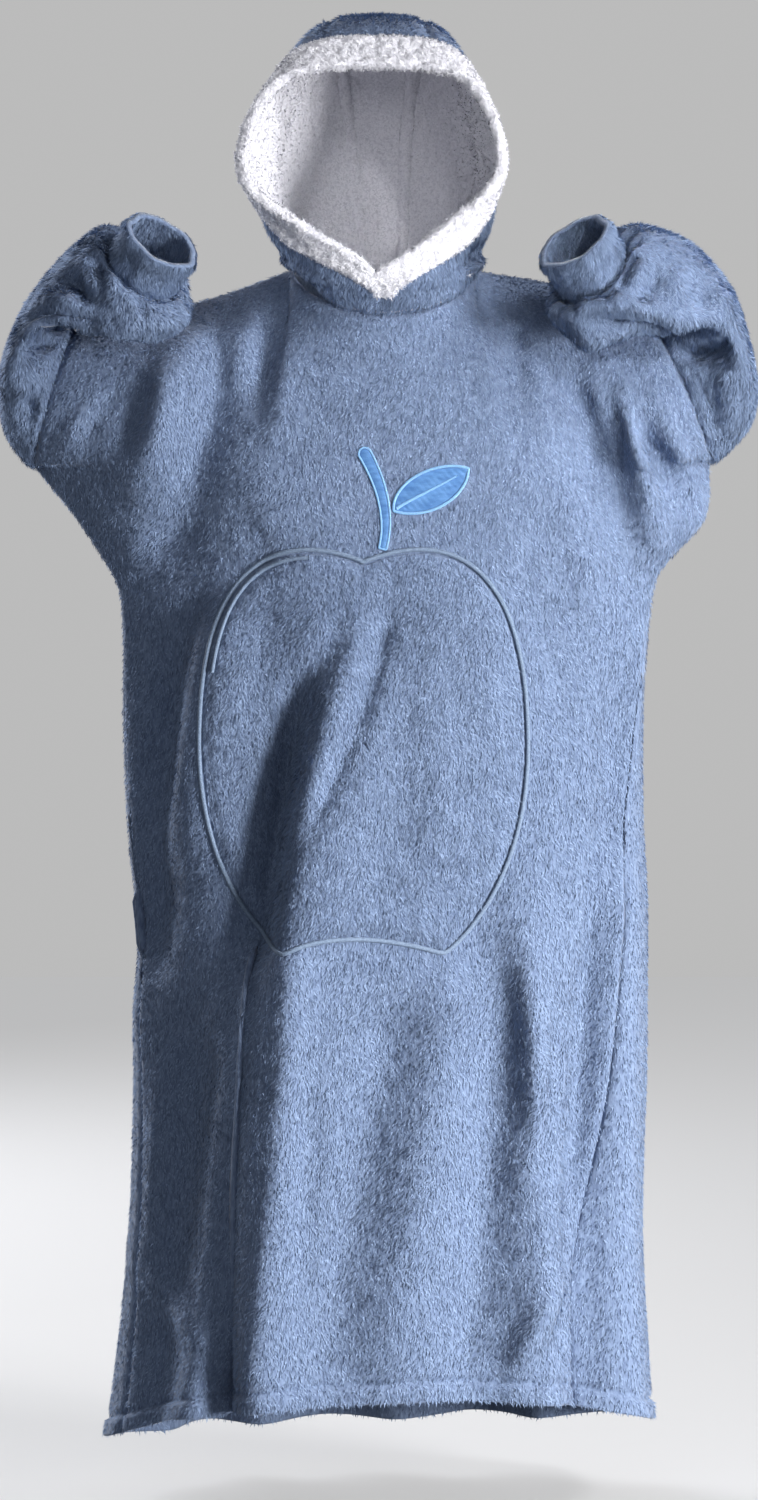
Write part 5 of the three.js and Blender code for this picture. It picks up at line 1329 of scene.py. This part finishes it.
front_mesh = cloth_mesh("front_cloth", front, 0, -FLEECE)
back_mesh = cloth_mesh("back_cloth", back, 0, -FLEECE)
place_sheet(front_mesh, "plush", "front_panel", flat=(0.95, 1.38), held="hung", area=1.10)
place_sheet(back_mesh, "plush", "back_panel", flat=(1.05, 1.42), held="hung", area=1.35)
for side in SIDES:
    sleeve_mesh = cloth_mesh(f"sleeve_{side}_cloth", sleeves[side], 0, -FLEECE)
    cuff_roll = rim_roll(cuffs[side])
    cuff_mesh = cloth_mesh(f"cuff_{side}_cloth", cuffs[side], cuff_roll, -FLEECE - cuff_roll)
    place_sheet(sleeve_mesh, "plush", f"sleeve_{side}", flat=(0.56, 0.30), held="gathered")
    place_sheet(cuff_mesh, "plush", f"cuff_{side}", flat=(0.30, 0.055), held="gathered")
strip_start = int(np.argmin(np.abs(hood_column - STRIP_FROM)))
strip_end = int(np.argmin(np.abs(hood_column - STRIP_TO)))
for node, first, last, flat in (
    ("hood_side_left", 0, strip_start, (0.34, 0.36)),
    ("hood_centre", strip_start, strip_end, (0.13, 0.56)),
    ("hood_side_right", strip_end, len(hood_column) - 1, (0.34, 0.36)),
):
    part_mesh = cloth_mesh(f"{node}_cloth", hood.columns(first, last), 0, -FLEECE)
    place_sheet(part_mesh, "plush", node, flat=flat, held="draped", area=0.8 * flat[0] * flat[1])


# The sherpa lining and the band round the rim.
def sherpa_bumps(points):
    return SHERPA_BUMP * layered(points, SHERPA_BUMPS)


def line_hood():
    """The lining follows the hood's creases and seams, with curls inside except close to the neck seam."""
    column = places([STEPS["lining_column"]] * HOOD_COLUMNS)
    lining = hood_cloth(places([STEPS["lining_row"]] * (len(HOOD_DEPTHS) - 1)), column)
    lining.move(hood_creases(lining))
    lining.move(strip_grooves(column) + seam_groove(edge_distance(lining, 0, True)))
    outer_face = -FLEECE - LAYER_GAP
    inner_face = outer_face - SHERPA + sherpa_bumps(lining.points)
    inner_face = np.minimum(inner_face, outer_face - LEAST_SHERPA)
    mesh = cloth_mesh("hood_lining_cloth", lining, outer_face, inner_face)
    place_sheet(mesh, "sherpa", "hood_lining", flat=(0.62, 0.48), held="draped", area=0.24)
    inside = lining.lifted(inner_face)
    inside.normals = -inside.normals
    off_the_neck = smooth(edge_distance(lining, 0, True) / (2 * CURL_LENGTH) - 0.5)
    curls("hood_lining_curls", Surface(inside, off_the_neck), CURL_TUFTS["lining"], 31)


def band_half(side):
    """One half of the band, from its mitre at the throat to the seam on top: outer and inner grids."""
    low_column = COLLAR_COLUMNS - 1
    column = np.linspace(low_column, HOOD_COLUMNS / 2, STEPS["band"] * (HOOD_COLUMNS // 2 - low_column) + 1)
    depth = np.clip(column, low_column, BAND_ROWS)
    across = resampled(hood_coarse, 1, column if side == "left" else HOOD_COLUMNS - column)
    share = np.linspace(1, 0, BAND_STEPS + 1)
    base = np.stack([resampled(across[:, n], 0, depth[n] * share) for n in range(len(column))], 1)
    sign = -1 if side == "left" else 1
    line = mix(NECK["x"], HOOD_CENTRE, np.clip(column / COLLAR_COLUMNS, 0, 1)) + sign * BAND_APART
    low = base[..., 2] < HOOD_INSIDE[2]
    clipped = np.minimum(base[..., 0], line) if side == "left" else np.maximum(base[..., 0], line)
    base[..., 0] = np.where(low, clipped, base[..., 0])
    cloth = Cloth(base, np.array(HOOD_INSIDE, float))
    cloth.move(hood_creases(cloth))

    rim, normal = cloth.points[-1], cloth.normals[-1]
    forward = unit(np.cross(np.gradient(rim, axis=0), normal))
    back_to_front = rim - cloth.points[-2]
    forward = np.where((forward * back_to_front).sum(1, keepdims=True) < 0, -forward, forward)
    upward = unit(hood_arc(0)[1] * [0, 1, 1] - neckline(0) * [0, 1, 1])
    turned = smooth((column - COLLAR_COLUMNS) / BAND_TURN["width"])[:, None]
    forward = unit(mix(upward[None, :], forward, turned))
    out = smooth((column - COLLAR_COLUMNS + BAND_TURN["start"]) / BAND_TURN["end"])[:, None]
    full = SHERPA + LAYER_GAP
    top = np.exp(-((HOOD_COLUMNS / 2 - column) * column_width / BAND_TOP["width"]) ** 2)
    rounded = np.sqrt(smooth(edge_distance(cloth, 0, False) / BAND_ROUND))
    height = LAYER_GAP + (full - LAYER_GAP) * rounded * (1 - BAND_TOP["share"] * top)

    lining_depth = -(FLEECE + LAYER_GAP + SHERPA)
    outer = [cloth.points + cloth.normals * height[..., None]]
    inner = [cloth.points + cloth.normals * LAYER_GAP / 2]
    for forward_share, height_share in BAND_LIP_PATH:
        level = height_share * full
        level = mix(max(level, LAYER_GAP), level, out)
        reach = forward_share * BAND_LIP * out
        kept = np.clip(level, lining_depth + BAND_KEPT, LAYER_GAP / 2)
        behind = rim + forward * np.maximum(reach - BAND_WALL, BAND_BACK) * out
        outer.append((rim + forward * reach + normal * level)[None])
        inner.append((behind + normal * mix(LAYER_GAP / 2, kept, out))[None])
    outer, inner = np.concatenate(outer), np.concatenate(inner)
    skin = Cloth(outer, rim[None] + normal[None] * lining_depth / 3)
    rows = np.minimum(np.arange(len(outer)), BAND_SMOOTH_ROWS)[:, None]
    skin.move(sherpa_bumps(outer) * smooth(rows / BAND_SMOOTH_ROWS))
    return skin, inner


line_hood()
for side, seed in (("left", 41), ("right", 42)):
    skin, under_skin = band_half(side)
    band_mesh = shell_mesh(f"hood_band_{side}_cloth", skin.points, under_skin, False)
    place_sheet(band_mesh, "sherpa", f"hood_band_{side}", flat=(0.45, 0.075), held="folded")
    curls(f"hood_band_{side}_curls", Surface(skin), CURL_TUFTS["band"] // 2, seed)


# The pocket and the applique lie on the front, whose depth is sampled over their place.
class FrontDepth:
    """The depth of the front cloth over a rectangle, evened over neighbouring places."""

    def __init__(self, left, right, bottom, top):
        points = front.points.reshape(-1, 3)
        faces = grid_faces(*front.points.shape[:2], False)
        tree = BVHTree.FromPolygons([Vector(p) for p in points], faces.tolist())
        self.x = np.arange(left, right + DEPTH_STEP, DEPTH_STEP)
        self.z = np.arange(bottom, top + DEPTH_STEP, DEPTH_STEP)
        forward = Vector((0, 1, 0))
        depth = [[tree.ray_cast(Vector((x, RAY_START, z)), forward)[0].y for x in self.x] for z in self.z]
        padded = np.pad(np.array(depth), 1, mode="edge")
        rows, columns = len(self.z), len(self.x)
        around = [(j, i) for j in range(3) for i in range(3)]
        self.depth = sum(padded[j:j + rows, i:i + columns] for j, i in around) / len(around)
        self.slope_z, self.slope_x = np.gradient(self.depth, DEPTH_STEP)

    def read(self, values, x, z):
        i = np.clip((x - self.x[0]) / DEPTH_STEP, 0, len(self.x) - 1.001)
        j = np.clip((z - self.z[0]) / DEPTH_STEP, 0, len(self.z) - 1.001)
        i0, j0 = i.astype(int), j.astype(int)
        u, v = i - i0, j - j0
        upper = mix(values[j0 + 1, i0], values[j0 + 1, i0 + 1], u)
        return mix(mix(values[j0, i0], values[j0, i0 + 1], u), upper, v)

    def at(self, x, z):
        """Points on the front at (x, z), and its normals there."""
        points = np.stack([x, self.read(self.depth, x, z), z], -1)
        slopes = self.read(self.slope_x, x, z), self.read(self.slope_z, x, z)
        return points, unit(np.stack([slopes[0], -np.ones_like(x), slopes[1]], -1))


def bezier(p0, p1, p2, p3, steps):
    t = np.linspace(0, 1, steps, endpoint=False)[:, None]
    p0, p1, p2, p3 = (np.array(p, float) for p in (p0, p1, p2, p3))
    return (1 - t) ** 3 * p0 + 3 * t * (1 - t) ** 2 * p1 + 3 * t ** 2 * (1 - t) * p2 + t ** 3 * p3


def evenly(path, count, closed=True):
    """Evenly spaced points along a path."""
    if closed:
        path = np.concatenate([path, path[:1]])
    lengths = np.concatenate([[0], np.cumsum(np.linalg.norm(np.diff(path, axis=0), axis=1))])
    at = np.linspace(0, lengths[-1], count, endpoint=not closed)
    return np.stack([np.interp(at, lengths, path[:, k]) for k in range(path.shape[1])], -1)


def grown(outline, distance):
    tangent = unit(np.roll(outline, -1, 0) - np.roll(outline, 1, 0))
    area = np.sum(outline[:, 0] * np.roll(outline[:, 1], -1) - outline[:, 1] * np.roll(outline[:, 0], -1))
    turn = 1 if area > 0 else -1
    return outline + distance * turn * np.stack([tangent[:, 1], -tangent[:, 0]], 1)


def within(outline, x, z):
    """Which points (x, z) lie inside an outline."""
    inside = np.zeros(x.shape, bool)
    for (x0, z0), (x1, z1) in zip(outline, np.roll(outline, -1, 0)):
        if z0 != z1:
            crosses = ((z0 > z) != (z1 > z)) & (x < (x1 - x0) * (z - z0) / (z1 - z0) + x0)
            inside ^= crosses
    return inside


def pocket_outline():
    p = POCKET
    shoulder = p["widest"] + p["shoulder"] * (p["top"] - p["widest"])
    hip = p["widest"] - p["hip"] * (p["widest"] - p["bottom"])
    crest = p["top"] + p["dip"] / 2
    x, bottom, foot, wave = p["x"], p["bottom"], p["foot"], p["wave"]
    left, right = x - p["half_width"], x + p["half_width"]
    corner, corner_level = foot + p["corner_width"], bottom + p["corner_height"]
    start = (x, p["top"] - p["dip"])
    side_steps, foot_steps = POCKET_STEPS["side"], POCKET_STEPS["foot"]
    return np.concatenate([
        bezier(start, (x + p["dip_width"], crest), (right, shoulder), (right, p["widest"]), side_steps),
        bezier((right, p["widest"]), (right, hip), (x + corner, corner_level), (x + foot, bottom),
               side_steps),
        bezier((x + foot, bottom), (x + foot / 2, bottom + wave), (x - foot / 2, bottom + 2 * wave),
               (x - foot, bottom), foot_steps),
        bezier((x - foot, bottom), (x - corner, corner_level), (left, hip), (left, p["widest"]),
               side_steps),
        bezier((left, p["widest"]), (left, shoulder), (x - p["dip_width"], crest), start, side_steps),
    ])


def leaf_edge(shares, side):
    base, tip = np.array(LEAF["base"], float), np.array(LEAF["tip"], float)
    stretch = tip - base
    out = unit(np.array([-stretch[1], stretch[0]])) * LEAF["bulge"] * side
    return base, base + shares[0] * stretch + out, base + shares[1] * stretch + out, tip


def stem_path(steps):
    t = np.linspace(0, 1, steps + 1)[:, None]
    foot, bend, top = (np.array(STEM[name], float) for name in ("foot", "bend", "top"))
    return (1 - t) ** 2 * foot + 2 * t * (1 - t) * bend + t ** 2 * top


def laid(flat, height):
    """Points at flat places (x, z) and a height above the front, and the front's normals there."""
    points, normals = depth_of_front.at(flat[..., 0], flat[..., 1])
    return points + normals * np.asarray(height)[..., None], normals


def tube(path, half_width, half_height, height, closed, sides=10):
    """A flattened tube along a path on the front: its ring points, rows along the path."""
    points, normals = laid(path, height)
    if closed:
        along = unit(np.roll(points, -1, 0) - np.roll(points, 1, 0))
    else:
        along = unit(np.gradient(points, axis=0))
    side = unit(np.cross(normals, along))
    turn = np.linspace(0, 2 * math.pi, sides, endpoint=False)
    width = np.broadcast_to(half_width, len(path))[:, None, None]
    tall = np.broadcast_to(half_height, len(path))[:, None, None]
    sideways = side[:, None] * np.cos(turn)[None, :, None] * width
    upwards = normals[:, None] * np.sin(turn)[None, :, None] * tall
    return points[:, None] + (sideways + upwards)


def tube_mesh(name, rings, closed):
    """A tube from its rings of points, joined into a loop or with flat ends."""
    count, sides = rings.shape[:2]
    j, i = np.meshgrid(np.arange(count if closed else count - 1), np.arange(sides), indexing="ij")
    a, b = j * sides + i, j * sides + (i + 1) % sides
    c, d = (j + 1) % count * sides + (i + 1) % sides, (j + 1) % count * sides + i
    faces = np.stack([a, b, c, d], -1).reshape(-1, 4)
    points = rings.reshape(-1, 3)
    if not closed:
        points = np.concatenate([points, rings[:1].mean(axis=1), rings[-1:].mean(axis=1)])
        first, last = count * sides, count * sides + 1
        start = (count - 1) * sides
        ends = [(i, (i + 1) % sides, first) for i in range(sides)]
        ends += [(start + (i + 1) % sides, start + i, last) for i in range(sides)]
        faces = np.concatenate([faces[:, [0, 1, 2]], faces[:, [0, 2, 3]], np.array(ends)])
    corner = points[faces[0]]
    facing = np.cross(corner[1] - corner[0], corner[2] - corner[0])
    if facing @ (corner[0] - rings[0].mean(axis=0)) < 0:
        faces = faces[:, ::-1]
    return new_mesh(name, points, faces)


def lay_pocket():
    """The pocket: rings from its middle to its edge, puffed and softly uneven. It gives its outer cloth."""
    centre = np.array([POCKET["x"], POCKET["widest"]])
    spread = np.array(POCKET_RINGS)[:, None, None]
    flat = centre + (outline - centre)[None] * spread
    to_edge = (1 - spread[..., 0]) * np.linalg.norm(outline - centre, axis=1)[None]
    wave = PUFF["wave"] * noise(np.insert(flat, 2, 0, axis=2), PUFF["wave_size"], PUFF["wave_seed"])
    puff = (PUFF["edge"] + PUFF["full"] * smooth(to_edge / PUFF["round"])
            + wave * smooth(to_edge / PUFF["wave_edge"]))
    points, _ = laid(flat, puff)
    cloth = Cloth(points, points + INTO_THE_BODY, closed=True)
    cloth.normals[:2] = unit(cloth.normals[2:4].mean(axis=(0, 1)))
    mesh = shell_mesh("pocket_cloth", cloth.points, laid(flat, POCKET_UNDER)[0], True)
    place_sheet(mesh, "plush", "pocket", flat=(0.375, 0.463), held="draped", area=0.145)
    return cloth


def lay_cord(name, path, look, slot, size, closed=True, replaced=None):
    """A cord or a row of stitches along a path on the front: half width, half height and level."""
    half_width, half_height, level = size
    mesh = tube_mesh(name, tube(path, half_width, half_height, level, closed), closed)
    place(name, mesh, cloth_materials[look], slot, replaced)


def lay_piping():
    piping = evenly(grown(outline, PIPING["width"] / 2), PIPING_POINTS)
    lay_cord("pocket_piping_cord", piping, "cord", "cord", PIPING_TUBE, replaced="pocket_piping")
    loop = evenly(grown(outline, -OPENING["inside"]), OPENING["points"])
    first, last = (int(OPENING[end] * OPENING["points"]) for end in ("from", "to"))
    lay_cord("pocket_opening_cord", loop[first:last], "cord", "cord", OPENING_TUBE, closed=False)


def lay_satin(name, flat, height, replaced):
    mesh = shell_mesh(name, laid(flat, height)[0], laid(flat, APPLIQUE_UNDER)[0], False)
    place(name, mesh, cloth_materials["satin"], "satin", replaced)


def lay_leaf():
    """The leaf with its stitched outline and vein. It gives its outline."""
    fine, length = LEAF_GRID["fine"], LEAF_GRID["length"]
    upper = evenly(bezier(*leaf_edge(LEAF["upper"], 1), fine), length, closed=False)
    lower = evenly(bezier(*leaf_edge(LEAF["lower"], -1), fine), length, closed=False)
    across = np.linspace(0, 1, LEAF_GRID["width"])[:, None, None]
    flat = lower[None] * (1 - across) + upper[None] * across
    along = flat[..., 0] + flat[..., 1]
    quilting = LEAF_DOME["quilting"] * np.sin(2 * math.pi * along / LEAF_DOME["quilt"])
    dome = np.sin(math.pi * across[..., 0]) * (LEAF_DOME["height"] + quilting)
    lay_satin("leaf_satin", flat, LEAF_DOME["edge"] + dome, "applique_leaf")
    edge = evenly(np.concatenate([upper, lower[::-1]]), STITCH_POINTS)
    widths = LEAF_STITCH["width"] + LEAF_STITCH["wave"] * np.cos(np.arange(STITCH_POINTS) * math.pi)
    lay_cord("leaf_stitching", edge, "thread", "satin", (widths, LEAF_STITCH["height"], LEAF_STITCH["level"]))
    vein = (upper + lower)[VEIN["from"]:VEIN["to"]] / 2
    widths = np.linspace(VEIN["base"], VEIN["tip"], len(vein))
    lay_cord("leaf_vein", vein, "thread", "satin", (widths, VEIN["height"], VEIN["level"]), closed=False)
    return edge


def lay_stem():
    """The stem, which widens to a round end, with its stitched outline. It gives its outline."""
    line = stem_path(STEM_GRID["length"])
    tangent = unit(np.gradient(line, axis=0))
    beside = np.stack([-tangent[:, 1], tangent[:, 0]], 1)
    walked = np.concatenate([[0], np.cumsum(np.linalg.norm(np.diff(line, axis=0), axis=1))])
    half = STEM["width"] / 2
    half_width = mix(half - STEM_FORM["thin"], half + STEM_FORM["wide"], walked / walked[-1])
    round_end = np.clip((walked[-1] + STEM_FORM["cap"] - walked) / half_width, 0, 1)
    taper = half_width * np.sqrt(np.maximum(1 - (1 - round_end) ** 2, STEM_FORM["least"]))
    across = np.linspace(-1, 1, STEM_GRID["width"])[:, None, None]
    flat = line[None] + beside[None] * taper[None, :, None] * across
    dome = np.sqrt(1 - STEM_FORM["flat"] * across[..., 0] ** 2)
    height = np.broadcast_to(STEM_FORM["edge"] + STEM_FORM["dome"] * dome, flat.shape[:2])
    lay_satin("stem_satin", flat, height, "applique_stem")
    edge = np.concatenate([line + beside * taper[:, None], (line - beside * taper[:, None])[::-1]])
    lay_cord("stem_stitching", evenly(edge, STITCH_POINTS), "thread", "satin", STEM_STITCH)
    return edge


INTO_THE_BODY = np.array([0, 100, 0])
half_reach = POCKET["half_width"] + DEPTH_MARGIN
depth_of_front = FrontDepth(
    POCKET["x"] - half_reach, POCKET["x"] + half_reach,
    POCKET["bottom"] - DEPTH_MARGIN, STEM["top"][1] + DEPTH_MARGIN,
)
outline = evenly(pocket_outline(), OUTLINE_POINTS)
pocket = lay_pocket()
lay_piping()
leaf_outline = lay_leaf()
stem_outline = lay_stem()


# The pile of each plush piece.
def off_the_layers(points):
    """Whether pile on the front stays clear of the pocket and the applique."""
    x, z = points[:, 0], points[:, 2]
    stem_edge = evenly(stem_outline, PILE_MARGIN["stem_points"])
    covered = within(grown(outline, PILE_MARGIN["piping"]), x, z)
    covered |= within(grown(leaf_outline, PILE_MARGIN["leaf"]), x, z)
    covered |= within(grown(stem_edge, PILE_MARGIN["stem"]), x, z)
    return ~covered | (points[:, 1] > 0)


def off_the_edge(points):
    return within(grown(outline, -PILE_MARGIN["pocket"]), points[:, 0], points[:, 2])


def thinned(distance):
    return 1 - SEAM_THIN["share"] * np.exp(-(distance / SEAM_THIN["width"]) ** 2)


def off_the_seams(cloth, axis):
    return thinned(edge_distance(cloth, axis, False)) * thinned(edge_distance(cloth, axis, True))


def turned_inside(cloth, depth):
    """The inner face of a cloth, with its normals turned to the inside."""
    inside = cloth.lifted(-depth)
    inside.normals = -cloth.normals
    return inside


def panel_pile(name, cloth, seed, keep=None):
    stitched = thinned(edge_distance(cloth, 0, True) - HEM_STITCH["above"])
    weight = off_the_seams(cloth, 1) * thinned(edge_distance(cloth, 0, False)) * stitched
    pile(name, Surface(cloth, weight), TUFTS[name], seed, keep)


def cuff_pile(side, outer_seed, inner_seed):
    """Pile on both faces of a cuff, denser round its mouth."""
    cuff = cuffs[side]
    roll = rim_roll(cuff)
    at_rim = smooth(CUFF_ROLL["dense"] - edge_distance(cuff, 0, True) / CUFF_ROLL["width"])
    weight = thinned(edge_distance(cuff, 0, False)) + CUFF_ROLL["extra"] * at_rim
    pile(f"cuff_{side}", Surface(cuff.lifted(roll), weight), TUFTS["cuff"], outer_seed, shag=SHAG)
    pile(f"cuff_{side}_inside", Surface(turned_inside(cuff, FLEECE + roll)), TUFTS["cuff_inside"], inner_seed)


def hood_pile(seed):
    """Pile on the hood from the band's seam back, and on the collar at the throat."""
    behind_band = smooth((hood_row[:, None] - UNDER_BAND["row"]) / UNDER_BAND["width"])
    from_throat = np.minimum(hood_column, HOOD_COLUMNS - hood_column)[None, :]
    throat = smooth((THROAT["columns"] - from_throat) / THROAT["width"])
    seams = thinned((hood_column - STRIP_FROM) * column_width)
    seams = seams * thinned((hood_column - STRIP_TO) * column_width)
    weight = np.maximum(behind_band, throat) * seams * thinned(edge_distance(hood, 0, True))
    pile("hood", Surface(hood, weight), TUFTS["hood"], seed, shag=SHAG)


def inside_hem_pile(seed):
    """Pile inside the back's hem, where it shows below the front."""
    from_hem = BODY_ROWS - INSIDE_HEM["rows"]
    weight = smooth((back_panel.row - from_hem) / INSIDE_HEM["width"])
    pile("back_inside", Surface(turned_inside(back, FLEECE), weight), TUFTS["inside"], seed)


panel_pile("front", front, 1, off_the_layers)
panel_pile("back", back, 2)
for side, sleeve_seed, cuff_seed, inside_seed in (("left", 3, 5, 10), ("right", 4, 6, 11)):
    surface = Surface(sleeves[side], off_the_seams(sleeves[side], 0))
    pile(f"sleeve_{side}", surface, TUFTS["sleeve"], sleeve_seed, shag=SHAG)
    cuff_pile(side, cuff_seed, inside_seed)
hood_pile(7)
pile("pocket", Surface(pocket), TUFTS["pocket"], 8, off_the_edge)
inside_hem_pile(9)


# The stage: a pale floor and backdrop, soft daylight, a large key light high on the right with another low
# on the same side, a weak fill in front, two faint ones for the sleeve and the hood, and one behind.
def aimed(at, aim):
    return (Vector(aim) - Vector(at)).to_track_quat("-Z", "Y").to_euler()


def add_lamp(name, at, aim, size, power, colour, spread=180):
    data = bpy.data.lights.new(name, "AREA")
    data.shape = "SQUARE"
    data.size = size
    data.energy = power
    data.color = colour
    data.spread = math.radians(spread)
    lamp = bpy.data.objects.new(name, data)
    lamp.location = at
    lamp.rotation_euler = aimed(at, aim)
    bpy.context.scene.collection.objects.link(lamp)


def add_floor():
    mesh = bpy.data.meshes.new("floor")
    signs = [(-1, -1), (1, -1), (1, 1), (-1, 1)]
    corners = [(x * FLOOR_REACH, y * FLOOR_REACH, FLOOR_LEVEL) for x, y in signs]
    mesh.from_pydata(corners, [], [(0, 1, 2, 3)])
    material, _, shader = new_material("floor")
    shader.inputs["Base Color"].default_value = linear(FLOOR_LOOK["colour"])
    shader.inputs["Roughness"].default_value = FLOOR_LOOK["roughness"]
    shader.inputs["Emission Color"].default_value = (1.0, 1.0, 1.0, 1.0)
    shader.inputs["Emission Strength"].default_value = FLOOR_LOOK["glow"]
    mesh.materials.append(material)
    floor = bpy.data.objects.new("floor", mesh)
    bpy.context.scene.collection.objects.link(floor)
    floor.visible_diffuse = False
    floor.visible_glossy = False


def add_daylight():
    """Soft daylight all round, with a brighter backdrop where the camera sees past the garment."""
    world = bpy.data.worlds.new("daylight")
    world.use_nodes = True
    tree = world.node_tree
    daylight = tree.nodes["Background"]
    backdrop = tree.nodes.new("ShaderNodeBackground")
    for background, look in ((daylight, DAYLIGHT), (backdrop, BACKDROP)):
        background.inputs["Color"].default_value = (*look["colour"], 1.0)
        background.inputs["Strength"].default_value = look["strength"]
    either = tree.nodes.new("ShaderNodeMixShader")
    seen = tree.nodes.new("ShaderNodeLightPath")
    tree.links.new(seen.outputs["Is Camera Ray"], either.inputs[0])
    tree.links.new(daylight.outputs[0], either.inputs[1])
    tree.links.new(backdrop.outputs[0], either.inputs[2])
    tree.links.new(either.outputs[0], tree.nodes["World Output"].inputs[0])
    bpy.context.scene.world = world
    bpy.context.scene.view_settings.view_transform = "Standard"


def add_camera():
    data = bpy.data.cameras.new("camera")
    data.sensor_fit = "VERTICAL"
    data.angle_y = math.radians(CAMERA["angle"])
    camera = bpy.data.objects.new("camera", data)
    camera.location = CAMERA["at"]
    camera.rotation_euler = aimed(CAMERA["at"], CAMERA["aim"])
    bpy.context.scene.collection.objects.link(camera)
    bpy.context.scene.camera = camera


add_floor()
for name, lamp in LAMPS.items():
    add_lamp(name, **lamp)
add_daylight()
add_camera()
